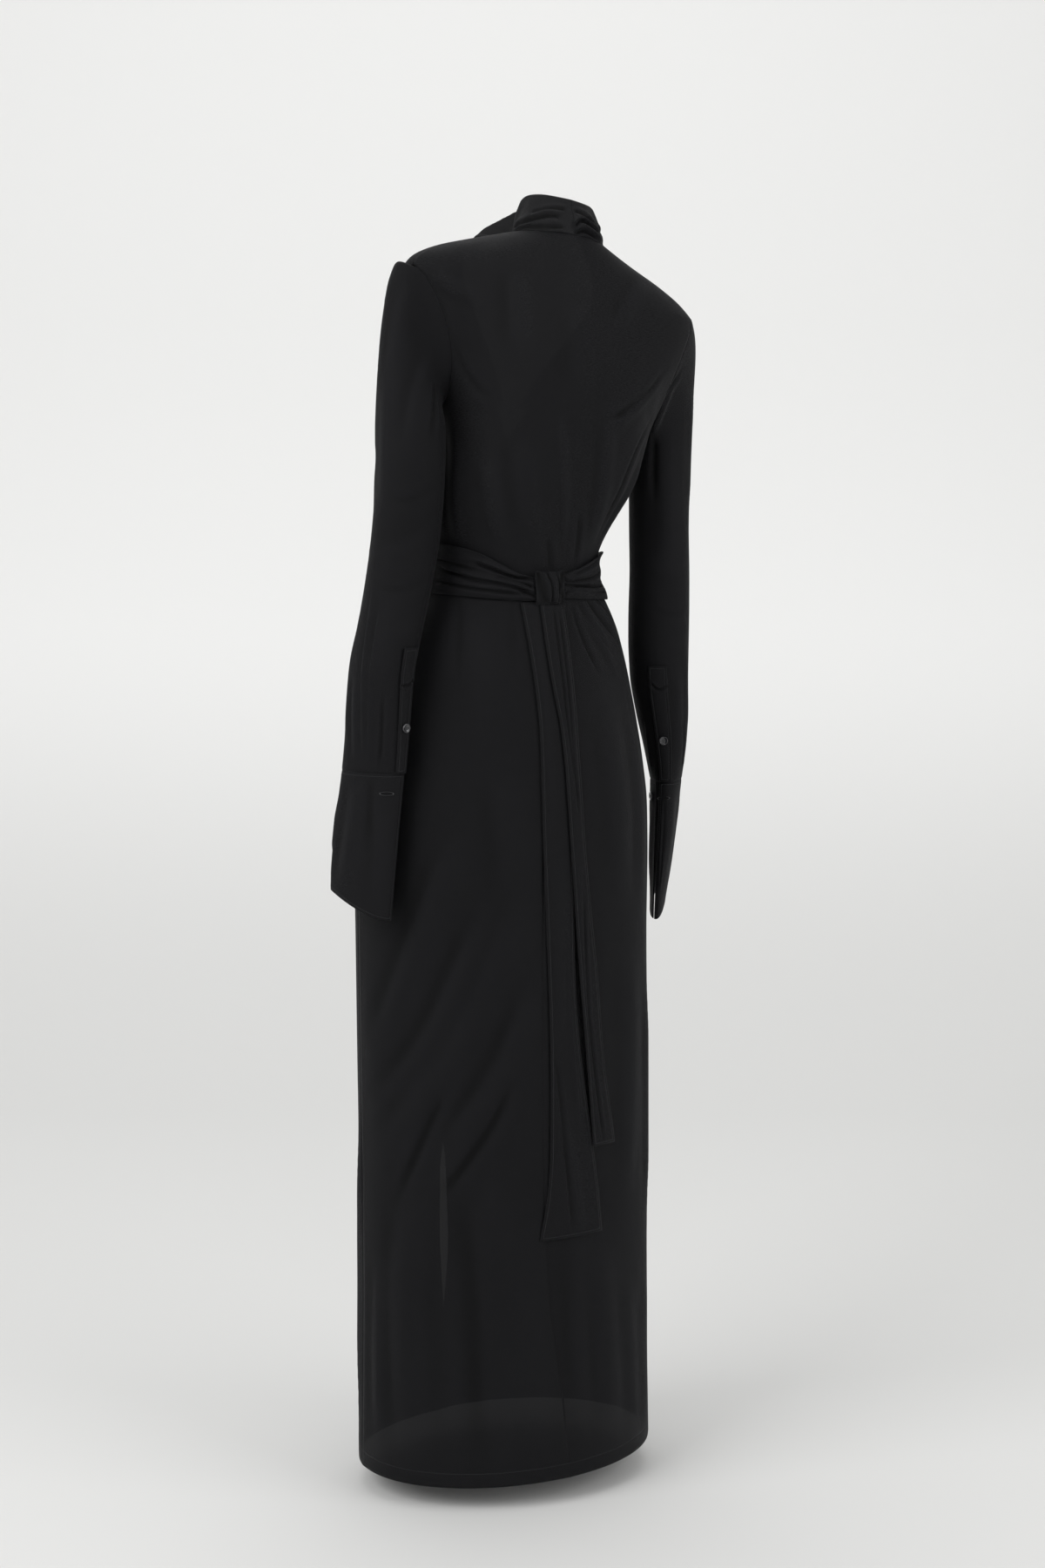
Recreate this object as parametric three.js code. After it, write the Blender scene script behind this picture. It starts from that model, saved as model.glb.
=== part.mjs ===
// A long wrap dress in thin black jersey, filled out as it is worn: ruched standing collar, long sleeves with
// plackets and deep open cuffs, a sash that is wrapped round the waist and knotted behind, and a straight skirt.
// Millimetres, +Z up. The front faces -Y and the wearer's left is +X. Heights in the tables are measured from the
// floor under the wearer. The origin is where the shoulders hold the dress up, between them at HOLD_HEIGHT.
import * as THREE from 'three';

// Walls and gaps.
const CLOTH = 1.8; // one layer with its seam allowance
const COLLAR_CLOTH = 2.2;
const SEAM = 0.5; // distance between two pieces that are sewn together
const COLLAR_GAP = 1.6; // the same under the collar
const ARMHOLE_GAP = 1.7; // the same round the armhole, where the shoulder curves away
const LAP = 4; // how far the over front stands out from the under front

// Heights above the floor, along the body.
const HOLD_HEIGHT = 1480;
const NECK = 1530;
const SHOULDER_TIP = 1468;
const ARMPIT = 1315;
const WAIST = 1118;
const HEM = 33;
const HEM_DIP = 3; // the hem hangs this much lower on one side, and is this much higher on the other
const HEM_DIP_ANGLE = 80; // where it is lowest, degrees from centre back
const CUFF_SEAM = 888;

// The pose: the shoulders are not level.
const TILT = 0.155; // rise for each millimetre towards the wearer's left, full at the shoulders
const TILT_FULL = 1460;
const SLEEVE_RISE = 18; // the left sleeve is this much higher than the middle, the right one as much lower

// The armhole is an ellipse on the body's surface, in degrees round it by millimetres of height.
const ARMHOLE_SPREAD = 22;
const SEAM_ANGLE_ARMPIT = 90; // side seam, degrees from centre back
const SEAM_ANGLE_TIP = 77; // the shoulder seam lies a little behind the ridge
const SEAM_ANGLE_NECK = 88;

// Counts of faces.
const SLEEVE_COLUMNS = 18;
const BACK_COLUMNS = 18;
const FRONT_COLUMNS = 11;

// Sections of the body of the dress: half width, half depth and middle.
const BODICE = [
  { height: 1118, width: 107, depth: 92, x: -6, y: 14 },
  { height: 1150, width: 101, depth: 91, x: -8, y: 16 },
  { height: 1193, width: 112, depth: 98, x: -12, y: 19 },
  { height: 1222, width: 127, depth: 104, x: -19, y: 22 },
  { height: 1265, width: 130, depth: 107, x: -31, y: 26 },
  { height: 1315, width: 134, depth: 108, x: -39, y: 30 },
  { height: 1370, width: 153, depth: 105, x: -44, y: 34 },
  { height: 1410, width: 171, depth: 99, x: -46, y: 37 },
  { height: 1440, width: 182, depth: 91, x: -46, y: 40 },
  { height: 1462, width: 185, depth: 84, x: -44, y: 43 },
  { height: 1480, width: 175, depth: 78, x: -39, y: 45 },
  { height: 1494, width: 151, depth: 72, x: -38, y: 48 },
  { height: 1507, width: 121, depth: 66, x: -39, y: 50 },
  { height: 1519, width: 84, depth: 60, x: -43, y: 53 },
  { height: 1530, width: 55, depth: 54, x: -48, y: 55 },
];
const SKIRT = [
  { height: 20, width: 191, depth: 142, x: -1, y: 0 },
  { height: 60, width: 190, depth: 140, x: -1, y: 0 },
  { height: 300, width: 186, depth: 136, x: 0, y: 0 },
  { height: 703, width: 187, depth: 134, x: 2, y: 0 },
  { height: 821, width: 188, depth: 135, x: 1, y: 0 },
  { height: 877, width: 183, depth: 135, x: 0, y: 1 },
  { height: 916, width: 175, depth: 133, x: -1, y: 2 },
  { height: 970, width: 162, depth: 128, x: -3, y: 4 },
  { height: 1010, width: 151, depth: 121, x: -4, y: 7 },
  { height: 1056, width: 138, depth: 110, x: -6, y: 10 },
  { height: 1102, width: 116, depth: 96, x: -7, y: 13 },
  { height: 1118, width: 107, depth: 92, x: -6, y: 14 },
];

// Sections of each sleeve: its middle, its half widths along and across the long way of the section, and the turn
// of that long way from straight out towards the back, in degrees. The left arm hangs beside the hip, and the
// right one a little in front of it.
const SLEEVES = {
  left: [
    { height: 700, x: 209, y: 59, along: 44, across: 17, turn: 128 },
    { height: 820, x: 198, y: 61, along: 44, across: 17, turn: 128 },
    { height: 893, x: 190, y: 62, along: 43, across: 19, turn: 128 },
    { height: 950, x: 184, y: 62, along: 42, across: 26, turn: 128 },
    { height: 1012, x: 177, y: 61, along: 41, across: 33, turn: 128 },
    { height: 1080, x: 159, y: 52, along: 41, across: 38, turn: 128 },
    { height: 1150, x: 145, y: 50, along: 42, across: 40, turn: 128 },
    { height: 1230, x: 143, y: 66, along: 42, across: 41, turn: 128 },
    { height: 1290, x: 141, y: 62, along: 42, across: 42, turn: 128 },
  ],
  right: [
    { height: 700, x: -217, y: -20, along: 42, across: 8, turn: 114 },
    { height: 820, x: -224, y: -17, along: 44, across: 16, turn: 114 },
    { height: 893, x: -227, y: -14, along: 43, across: 21, turn: 114 },
    { height: 950, x: -221, y: -8, along: 42, across: 31, turn: 114 },
    { height: 1012, x: -211, y: -2, along: 41, across: 37, turn: 114 },
    { height: 1080, x: -208, y: 2, along: 40, across: 39, turn: 114 },
    { height: 1150, x: -207, y: 6, along: 38, across: 38, turn: 114 },
    { height: 1230, x: -206, y: 4, along: 38, across: 38, turn: 114 },
    { height: 1290, x: -208, y: 2, along: 38, across: 38, turn: 114 },
  ],
};
const SLEEVE_HEIGHTS = [1250, 1200, 1150, 1100, 1055, 1012, 970, 930, CUFF_SEAM];
const CAP_ROWS = 5;
// How steeply each sleeve head rises out of the seam at the shoulder, and how far it runs out before it drops.
const SLEEVE_HEAD = { left: { rise: 1.4, run: 1.2 }, right: { rise: 0, run: 0.7 } };

// Edges of the wrapped fronts, in degrees from centre back round the wearer's own side.
const NECK_EDGE = [
  { height: 1118, over: 250, under: 240 },
  { height: 1200, over: 213, under: 208 },
  { height: 1290, over: 181, under: 181 },
  { height: 1400, over: 157, under: 157 },
  { height: 1480, over: 140, under: 140 },
  { height: 1530, over: 126, under: 126 },
];
const SKIRT_EDGE = [
  { height: 20, over: 190.5, under: 172.5 },
  { height: 155, over: 189.5, under: 170.5 },
  { height: 300, over: 186.5, under: 168 },
  { height: 440, over: 190.5, under: 172 },
  { height: 700, over: 202, under: 190 },
  { height: 950, over: 226, under: 218 },
  { height: 1118, over: 250, under: 240 },
];

// Collar: height of the band and its lean towards the neck, by the way along it from centre back.
const COLLAR = [
  { way: 0, height: 43, lean: 0.3 },
  { way: 0.3, height: 42, lean: 0.3 },
  { way: 0.55, height: 33, lean: 0.26 },
  { way: 0.8, height: 22, lean: 0.14 },
  { way: 1, height: 11, lean: 0 },
];
const COLLAR_END = 1335; // height on the neck edge where the band runs out
const COLLAR_ROUND = 11; // columns round the neck
const COLLAR_DOWN = 9; // columns down the front edge
const COLLAR_ROWS = 5;

// Sash: its lower and upper edge round the waist, in degrees from centre back towards the wearer's left.
const SASH = [
  { angle: -100, low: 1100, high: 1160 },
  { angle: -60, low: 1102, high: 1160 },
  { angle: -14, low: 1107, high: 1135 },
  { angle: 0, low: 1105, high: 1129 },
  { angle: 15, low: 1106, high: 1137 },
  { angle: 40, low: 1109, high: 1160 },
  { angle: 65, low: 1112, high: 1170 },
  { angle: 100, low: 1112, high: 1172 },
  { angle: 180, low: 1108, high: 1166 },
  { angle: 260, low: 1100, high: 1160 },
];
const SASH_CLOTH = 2;
const SASH_CLEAR = 1.3;
const SASH_FOLD = 3.5; // how far its folds stand out
const SASH_FOLDS = 2.5; // folds between its edges
const SASH_KNOT_SIDES = { right: -14, left: 4 }; // where the two bands go in under the knot

// Knot and tails, by X of their edges on the back.
const KNOT = { left: 3, right: -31, top: 1140, low: 1100.8, rise: 5, clear: 7.4 };
const TAIL_LONG = [
  { height: 1103, left: 20, right: -12 },
  { height: 1023, left: 12, right: -17 },
  { height: 963, left: 7, right: -26 },
  { height: 874, left: 5, right: -32 },
  { height: 787, left: 2, right: -36 },
  { height: 634, left: -5, right: -40 },
  { height: 553, left: -7, right: -48 },
  { height: 458, left: -7, right: -63 },
  { height: 400, left: -5, right: -72 },
  { height: 335, left: 7, right: -79 },
];
const TAIL_SHORT = [
  { height: 1100, left: -2, right: -31 },
  { height: 1023, left: -7, right: -36 },
  { height: 954, left: -19, right: -40 },
  { height: 874, left: -26, right: -45 },
  { height: 787, left: -33, right: -53 },
  { height: 634, left: -46, right: -71 },
  { height: 553, left: -54, right: -78 },
  { height: 444, left: -64, right: -96 },
];
const TAIL_CLOTH = 1.8;
const TAIL_LONG_CLEAR = 0.9; // from the skirt to the tail's inner face
const TAIL_SHORT_CLEAR = 4.5;

// Placket, buttons and cuffs.
const PLACKET = { angle: 117, width: 21, top: 1035, foot: CUFF_SEAM + 1, clear: 0.9, cloth: 1.4 };
const BUTTON = { radius: 5.6, thick: 2.4, height: 942, clear: 0.4 };
const CUFF = { open: 146, gap: 7, length: 158, point: 16, rows: 4 };
const CUFF_BUTTON_HEIGHT = 868;
const CUFF_BUTTON_ROUND = 22; // degrees past the edge of the opening
const CUFF_BUTTON_OUT = 0.9;

// Largest folds: from one end to the other on the surface, in degrees and heights, with half width and depth.
const BODICE_FOLDS = [
  { a0: 14, h0: 1500, a1: 12, h1: 1440, half: 12, depth: -3 },
  { a0: -8, h0: 1340, a1: -16, h1: 1190, half: 14, depth: -3 },
  { a0: -42, h0: 1330, a1: -30, h1: 1170, half: 14, depth: 4 },
  { a0: 42, h0: 1320, a1: 30, h1: 1170, half: 14, depth: 4 },
  { a0: 20, h0: 1290, a1: 12, h1: 1160, half: 12, depth: 3 },
  { a0: -62, h0: 1360, a1: -48, h1: 1330, half: 12, depth: -3 },
];
const SKIRT_FOLDS = [
  { a0: 10, h0: 720, a1: 62, h1: 500, half: 26, depth: 4 },
  { a0: 24, h0: 560, a1: 44, h1: 380, half: 24, depth: 3.5 },
  { a0: -34, h0: 1060, a1: -48, h1: 960, half: 14, depth: -3 },
  { a0: 50, h0: 760, a1: 80, h1: 560, half: 26, depth: 3.5 },
  { a0: -60, h0: 640, a1: -64, h1: 260, half: 28, depth: 4 },
  { a0: 150, h0: 700, a1: 166, h1: 400, half: 28, depth: 4 },
  { a0: 205, h0: 760, a1: 196, h1: 420, half: 28, depth: 4 },
];

const UP = new THREE.Vector3(0, 0, 1);
const radians = THREE.MathUtils.degToRad;
const smooth = (x, low, high) => THREE.MathUtils.smoothstep(x, low, high);
const mix = THREE.MathUtils.lerp;

const cloth = (name) => new THREE.MeshStandardMaterial({ name, color: 0x1b1b1d, roughness: 0.82, metalness: 0 });
const shell = (name) => new THREE.MeshStandardMaterial({ name, color: 0x101012, roughness: 0.3, metalness: 0 });

// Reads one column of a table at a place between its rows, along a smooth curve.
function read(rows, place, column, key = 'height') {
  let i = 0;
  while (i < rows.length - 2 && place > rows[i + 1][key]) i += 1;
  const slope = (j) => {
    const low = rows[Math.max(j - 1, 0)];
    const high = rows[Math.min(j + 1, rows.length - 1)];
    return (high[column] - low[column]) / (high[key] - low[key]);
  };
  const [from, to] = [rows[i], rows[i + 1]];
  const span = to[key] - from[key];
  const t = THREE.MathUtils.clamp((place - from[key]) / span, 0, 1);
  const [t2, t3] = [t * t, t * t * t];
  return from[column] * (2 * t3 - 3 * t2 + 1) + to[column] * (3 * t2 - 2 * t3)
    + span * (slope(i) * (t3 - 2 * t2 + t) + slope(i + 1) * (t3 - t2));
}

const rising = (rows) => [...rows].sort((a, b) => a.height - b.height);
const arm = (side) => (side > 0 ? SLEEVES.left : SLEEVES.right);
const LONG_RISING = rising(TAIL_LONG);
const SHORT_RISING = rising(TAIL_SHORT);

// How far the large folds lift the surface at one place.
function foldLift(folds, angle, height, radius) {
  const turn = ((angle + 180) % 360 + 360) % 360 - 180;
  let lift = 0;
  for (const fold of folds) {
    const centre = (fold.a0 + fold.a1) / 2;
    const near = turn + 360 * Math.round((centre - turn) / 360);
    const along = THREE.MathUtils.clamp((fold.h0 - height) / (fold.h0 - fold.h1), -0.5, 1.5);
    const across = radians(near - mix(fold.a0, fold.a1, along)) * radius;
    const ends = smooth(along, -0.5, 0.2) * (1 - smooth(along, 0.8, 1.5));
    lift += fold.depth * ends * Math.exp(-((across / fold.half) ** 2));
  }
  return lift;
}

// The outer face of the dress at an angle from centre back, towards the wearer's left, and a height.
function bodyPoint(angle, height, lift = 0) {
  const rows = height >= WAIST ? BODICE : SKIRT;
  const turn = radians(angle);
  const wide = read(rows, height, 'width');
  const deep = read(rows, height, 'depth');
  const folds = height >= WAIST ? BODICE_FOLDS : SKIRT_FOLDS;
  const fade = Math.min(smooth(Math.abs(height - WAIST), 0, 60), 1);
  const out = lift + fade * foldLift(folds, angle, height, (wide + deep) / 2);
  const x = (wide + out) * Math.sin(turn);
  const lean = TILT * smooth(height, WAIST, TILT_FULL) * x;
  const hang = -HEM_DIP * Math.cos(turn - radians(HEM_DIP_ANGLE)) * (1 - smooth(height, HEM, HEM + 400));
  return new THREE.Vector3(
    read(rows, height, 'x') + x,
    read(rows, height, 'y') + (deep + out) * Math.cos(turn),
    height + lean + (height < WAIST ? hang : 0),
  );
}

function bodyNormal(angle, height, lift = 0) {
  const round = bodyPoint(angle + 1, height, lift).sub(bodyPoint(angle - 1, height, lift));
  const rise = bodyPoint(angle, height + 2, lift).sub(bodyPoint(angle, height - 2, lift));
  return rise.cross(round).normalize();
}

// Normals of a grid of points, from its neighbours. The sign turns them outwards.
function gridNormals(grid, closed, sign) {
  const rows = grid.length;
  const columns = grid[0].length;
  return grid.map((row, i) => row.map((point, j) => {
    const left = closed ? (j + columns - 1) % columns : Math.max(j - 1, 0);
    const right = closed ? (j + 1) % columns : Math.min(j + 1, columns - 1);
    const across = row[right].clone().sub(row[left]);
    const up = grid[Math.min(i + 1, rows - 1)][j].clone().sub(grid[Math.max(i - 1, 0)][j]);
    return up.cross(across).normalize().multiplyScalar(sign);
  }));
}

// A closed wall between a grid of outer points and a grid of inner points.
function wallBetween(outer, inner, closed) {
  const rows = outer.length;
  const columns = outer[0].length;
  const points = [...outer.flat(), ...inner.flat()];
  const face = [];
  const at = (side, i, j) => side * rows * columns + i * columns + (j % columns);
  const quad = (a, b, c, d) => face.push(a, b, c, a, c, d);
  const spans = closed ? columns : columns - 1;
  for (let i = 0; i < rows - 1; i += 1) {
    for (let j = 0; j < spans; j += 1) {
      quad(at(0, i, j), at(0, i, j + 1), at(0, i + 1, j + 1), at(0, i + 1, j));
      quad(at(1, i, j), at(1, i + 1, j), at(1, i + 1, j + 1), at(1, i, j + 1));
    }
    if (!closed) {
      const last = columns - 1;
      quad(at(0, i, 0), at(0, i + 1, 0), at(1, i + 1, 0), at(1, i, 0));
      quad(at(0, i, last), at(1, i, last), at(1, i + 1, last), at(0, i + 1, last));
    }
  }
  for (let j = 0; j < spans; j += 1) {
    const top = rows - 1;
    quad(at(0, 0, j), at(1, 0, j), at(1, 0, j + 1), at(0, 0, j + 1));
    quad(at(0, top, j), at(0, top, j + 1), at(1, top, j + 1), at(1, top, j));
  }
  return solid(points, face);
}

// One closed solid with its faces pointing out.
function solid(points, face) {
  let volume = 0;
  for (let k = 0; k < face.length; k += 3) {
    volume += points[face[k]].dot(points[face[k + 1]].clone().cross(points[face[k + 2]]));
  }
  if (volume < 0) {
    for (let k = 0; k < face.length; k += 3) [face[k + 1], face[k + 2]] = [face[k + 2], face[k + 1]];
  }
  const geometry = new THREE.BufferGeometry();
  geometry.setAttribute('position', new THREE.Float32BufferAttribute(points.flatMap((p) => p.toArray()), 3));
  geometry.setIndex(face);
  return geometry;
}

function wall(outer, thick, { closed = false, sign = 1, normals = null } = {}) {
  const directions = normals ?? gridNormals(outer, closed, sign);
  const inner = outer.map((row, i) => row.map((p, j) => p.clone().addScaledVector(directions[i][j], -thick)));
  return wallBetween(outer, inner, closed);
}

function piece(name, geometry, material) {
  geometry.computeVertexNormals();
  const mesh = new THREE.Mesh(geometry, material);
  mesh.name = name;
  return mesh;
}

const steps = (from, to, count) => Array.from({ length: count + 1 }, (_, i) => mix(from, to, i / count));

// Armhole and seams.
const ARMHOLE_MIDDLE = (SHOULDER_TIP + ARMPIT) / 2;
const ARMHOLE_HALF = (SHOULDER_TIP - ARMPIT) / 2;

// Angle of the side seam below the armpit, of the armhole's middle, and of the shoulder seam above the tip.
function seamAngle(height) {
  if (height <= ARMPIT) return SEAM_ANGLE_ARMPIT;
  if (height >= SHOULDER_TIP) {
    return mix(SEAM_ANGLE_TIP, SEAM_ANGLE_NECK, (height - SHOULDER_TIP) / (NECK - SHOULDER_TIP));
  }
  return mix(SEAM_ANGLE_ARMPIT, SEAM_ANGLE_TIP, (height - ARMPIT) / (SHOULDER_TIP - ARMPIT));
}

function armholeSpread(height) {
  const way = (height - ARMHOLE_MIDDLE) / ARMHOLE_HALF;
  return Math.abs(way) >= 1 ? 0 : ARMHOLE_SPREAD * Math.sqrt(1 - way * way);
}

// Half the seam's gap as an angle.
const seamGap = (height) => THREE.MathUtils.radToDeg(SEAM / 2 / read(BODICE, height, 'depth'));
const backEdge = (height) => seamAngle(height) - armholeSpread(height) - seamGap(height);
const frontEdge = (height) => seamAngle(height) + armholeSpread(height) + seamGap(height);

const ARMHOLE_ROWS = SLEEVE_COLUMNS / 2;
const BODICE_HEIGHTS = [
  WAIST + SEAM / 2, 1135, 1154, 1178, 1206, 1240, 1278, ARMPIT,
  ...steps(Math.PI, 0, ARMHOLE_ROWS).slice(1, -1).map((t) => ARMHOLE_MIDDLE + ARMHOLE_HALF * Math.cos(t)),
  ...steps(SHOULDER_TIP, NECK, 4),
];

function bodiceGrid(from, to, columns, liftAt) {
  return BODICE_HEIGHTS.map((height) => steps(from(height), to(height), columns)
    .map((angle) => bodyPoint(angle, height, liftAt(angle, height))));
}

// The over front comes off the body's surface below the armhole only, past the side seam.
function overLift(angle, height) {
  const start = mix(91, 124, smooth(height, 1200, 1290));
  return LAP * smooth(Math.abs(angle), start, start + 20);
}
const noLift = () => 0;

function makeBodice() {
  const back = bodiceGrid((h) => -backEdge(h), backEdge, BACK_COLUMNS, noLift);
  const neckEdge = (h, side) => read(NECK_EDGE, h, side);
  const over = bodiceGrid((h) => -neckEdge(h, 'over'), (h) => -frontEdge(h), FRONT_COLUMNS + 2, overLift);
  const under = bodiceGrid(frontEdge, (h) => neckEdge(h, 'under'), FRONT_COLUMNS, noLift);
  return [
    piece('bodice_back', wall(back, CLOTH), cloth('jersey')),
    piece('bodice_front_over', wall(over, CLOTH), cloth('jersey')),
    piece('bodice_front_under', wall(under, CLOTH), cloth('jersey')),
  ];
}

// Skirt.
const SKIRT_HEIGHTS = [...steps(HEM, 700, 6), 790, 860, 920, 975, 1025, 1068, 1098, WAIST - SEAM / 2];
const WAIST_DEPTH = 92;
const BACK_SEAM_SWING = 9.6; // the centre-back seam swings this far to the wearer's right at the hem
const backSeam = (height) => -BACK_SEAM_SWING * (1 - smooth(height, HEM, 330));

function skirtGrid(from, to, columns, liftAt) {
  const gap = THREE.MathUtils.radToDeg(SEAM / 2 / WAIST_DEPTH);
  return SKIRT_HEIGHTS.map((height) => steps(from(height) + gap, to(height) - gap, columns)
    .map((angle) => bodyPoint(angle, height, liftAt(angle, height))));
}

function makeSkirt() {
  const overEdge = (h) => -read(SKIRT_EDGE, h, 'over');
  const underEdge = (h) => read(SKIRT_EDGE, h, 'under');
  const side = SEAM_ANGLE_ARMPIT;
  return [
    piece('skirt_back_left', wall(skirtGrid(backSeam, () => side, 9, noLift), CLOTH), cloth('jersey')),
    piece('skirt_back_right', wall(skirtGrid(() => -side, backSeam, 9, noLift), CLOTH), cloth('jersey')),
    piece('skirt_front_over', wall(skirtGrid(overEdge, () => -side, 12, overLift), CLOTH), cloth('jersey')),
    piece('skirt_front_under', wall(skirtGrid(() => side, underEdge, 10, noLift), CLOTH), cloth('jersey')),
  ];
}

// Sleeves. side is 1 for the wearer's left and -1 for the right. The angle runs from straight out to the back.
function sleevePoint(side, angle, height) {
  const rows = arm(side);
  const turn = radians(read(rows, height, 'turn'));
  const phase = radians(angle) - turn;
  const along = read(rows, height, 'along') * Math.cos(phase);
  const across = read(rows, height, 'across') * Math.sin(phase);
  return new THREE.Vector3(
    read(rows, height, 'x') + side * (along * Math.cos(turn) - across * Math.sin(turn)),
    read(rows, height, 'y') + along * Math.sin(turn) + across * Math.cos(turn),
    height + side * SLEEVE_RISE,
  );
}

function sleeveNormal(side, angle, height) {
  const round = sleevePoint(side, angle + 1, height).sub(sleevePoint(side, angle - 1, height));
  const rise = sleevePoint(side, angle, height + 2).sub(sleevePoint(side, angle, height - 2));
  return round.cross(rise).multiplyScalar(side).normalize();
}

// A point of the armhole seam, with the way in which the sleeve leaves it.
function armholePoint(side, angle) {
  const turn = radians(angle);
  const height = ARMHOLE_MIDDLE + ARMHOLE_HALF * Math.cos(turn);
  const around = side * (seamAngle(height) - ARMHOLE_SPREAD * Math.sin(turn));
  const point = bodyPoint(around, height);
  const normal = bodyNormal(around, height);
  const outward = new THREE.Vector3(side, 0, 0);
  outward.addScaledVector(normal, -outward.dot(normal)).normalize();
  const under = smooth(-Math.cos(turn), 0.2, 0.95);
  const { rise, run } = side > 0 ? SLEEVE_HEAD.left : SLEEVE_HEAD.right;
  const leave = outward.multiplyScalar(1 - under).add(new THREE.Vector3(side * 0.94 * under, 0, -0.34 * under));
  point.addScaledVector(leave.normalize(), ARMHOLE_GAP);
  leave.addScaledVector(UP, rise * smooth(Math.cos(turn), 0.1, 1)).normalize();
  return { point, normal, leave, under, run };
}

function makeSleeve(side, name) {
  const angles = Array.from({ length: SLEEVE_COLUMNS }, (_, j) => (360 / SLEEVE_COLUMNS) * j);
  const seam = angles.map((angle) => armholePoint(side, angle));
  const top = arm(side).at(-1).height;
  const grid = steps(0, 1, CAP_ROWS).map((t) => angles.map((angle, j) => {
    const end = sleevePoint(side, angle, top);
    const run = end.distanceTo(seam[j].point);
    const [t2, t3] = [t * t, t * t * t];
    return seam[j].point.clone().multiplyScalar(2 * t3 - 3 * t2 + 1)
      .addScaledVector(end, 3 * t2 - 2 * t3)
      .addScaledVector(seam[j].leave, run * mix(seam[j].run, 0.5, seam[j].under) * (t3 - 2 * t2 + t))
      .addScaledVector(UP, -run * 1.1 * (t3 - t2));
  }));
  for (const height of SLEEVE_HEIGHTS) {
    const low = height === CUFF_SEAM ? height + SEAM / 2 : height;
    grid.push(angles.map((angle) => sleevePoint(side, angle, low)));
  }
  const normals = gridNormals(grid, true, side);
  normals[0] = normals[0].map((own, j) => own.lerp(seam[j].normal, 1 - seam[j].under).normalize());
  return piece(name, wall(grid, CLOTH, { closed: true, normals }), cloth('jersey'));
}

// What lies on a sleeve is made from its points, moved out.
function onSleeve(side, angle, height, out) {
  return sleevePoint(side, angle, height).addScaledVector(sleeveNormal(side, angle, height), out);
}

function makePlacket(side, name) {
  const half = PLACKET.width / 2;
  const grid = (out) => steps(PLACKET.foot, PLACKET.top, 7).map((height) => steps(-half, half, 3).map((across) => {
    const angle = PLACKET.angle + THREE.MathUtils.radToDeg(across / 36);
    return onSleeve(side, angle, height, out);
  }));
  const outer = grid(PLACKET.clear + PLACKET.cloth);
  return piece(name, wallBetween(outer, grid(PLACKET.clear), false), cloth('jersey'));
}

function makeButton(name, point, normal) {
  const { radius, thick } = BUTTON;
  const profile = [[0, 0], [radius * 0.82, 0], [radius, thick * 0.4], [radius * 0.86, thick], [0, thick * 0.8]];
  const geometry = new THREE.LatheGeometry(profile.map(([x, y]) => new THREE.Vector2(x, y)), 12);
  geometry.applyQuaternion(new THREE.Quaternion().setFromUnitVectors(new THREE.Vector3(0, 1, 0), normal));
  geometry.translate(...point.toArray());
  return piece(name, geometry, shell('button'));
}

// The cuff is an open band. Its lower edge runs down to a point at the opening.
function cuffAngles() {
  return steps(CUFF.open + CUFF.gap, CUFF.open + 360 - CUFF.gap, SLEEVE_COLUMNS);
}

function makeCuff(side, name) {
  const top = CUFF_SEAM - SEAM / 2;
  const grid = steps(0, 1, CUFF.rows).map((t) => cuffAngles().map((angle) => {
    const away = (1 - Math.cos(radians(angle - CUFF.open))) / 2;
    const point = CUFF.point * (1 - 2 * away ** 1.7);
    const height = top - t * (CUFF.length + point);
    return sleevePoint(side, angle, height);
  }));
  return piece(name, wall(grid, CLOTH, { sign: side }), cloth('jersey'));
}

// Collar: one half, from centre back round the neck and down the front's edge.
function collarStation(side, way) {
  const share = COLLAR_ROUND / (COLLAR_ROUND + COLLAR_DOWN);
  const round = Math.min(way / share, 1);
  const down = Math.max((way - share) / (1 - share), 0);
  const height = mix(NECK, COLLAR_END, down);
  const edge = side < 0 ? 'over' : 'under';
  const lap = side < 0 ? overLift : noLift;
  const start = THREE.MathUtils.radToDeg(SEAM / 2 / 60);
  const corner = read(NECK_EDGE, NECK, edge);
  const angle = down > 0 ? read(NECK_EDGE, height, edge) : mix(start, corner, round);
  const lift = lap(angle, height);
  const base = bodyPoint(side * angle, height, lift);
  const normal = bodyNormal(side * angle, Math.min(height, NECK - 3), lift);
  const inward = bodyPoint(side * (angle + 1), height, lift).sub(base).normalize();
  const outward = new THREE.Vector3(base.x - read(BODICE, height, 'x'), base.y - read(BODICE, height, 'y'), 0);
  const lean = read(COLLAR, way, 'lean', 'way');
  const standing = UP.clone().addScaledVector(outward.normalize(), -lean);
  const turn = smooth(way, share - 0.12, share + 0.22);
  const stand = standing.multiplyScalar(1 - turn).addScaledVector(inward, turn).addScaledVector(UP, 0.25 * turn);
  return { base, normal, stand: stand.normalize(), height: read(COLLAR, way, 'height', 'way'), turn };
}

function makeCollar(side, name) {
  const stations = steps(0, 1, COLLAR_ROUND + COLLAR_DOWN).map((way) => collarStation(side, way));
  const grid = steps(0, 1, COLLAR_ROWS).map((t) => stations.map((station, j) => {
    const fold = 2.2 * Math.sin(Math.PI * t) * Math.sin(j * 1.9 + 5 * t) + Math.sin(Math.PI * t);
    const flat = station.normal.clone().setZ(0).normalize().lerp(station.normal, station.turn).normalize();
    return station.base.clone().addScaledVector(station.stand, COLLAR_GAP + t * station.height)
      .addScaledVector(flat, fold * mix(1, 0.4, station.turn));
  }));
  const normals = gridNormals(grid, false, side);
  normals[0] = normals[0].map((own, j) => own.lerp(stations[j].normal, 0.6).normalize());
  for (const row of normals) row[0].setX(0).normalize(); // flat against the other half
  return piece(name, wall(grid, COLLAR_CLOTH, { normals }), cloth('jersey'));
}

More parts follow.
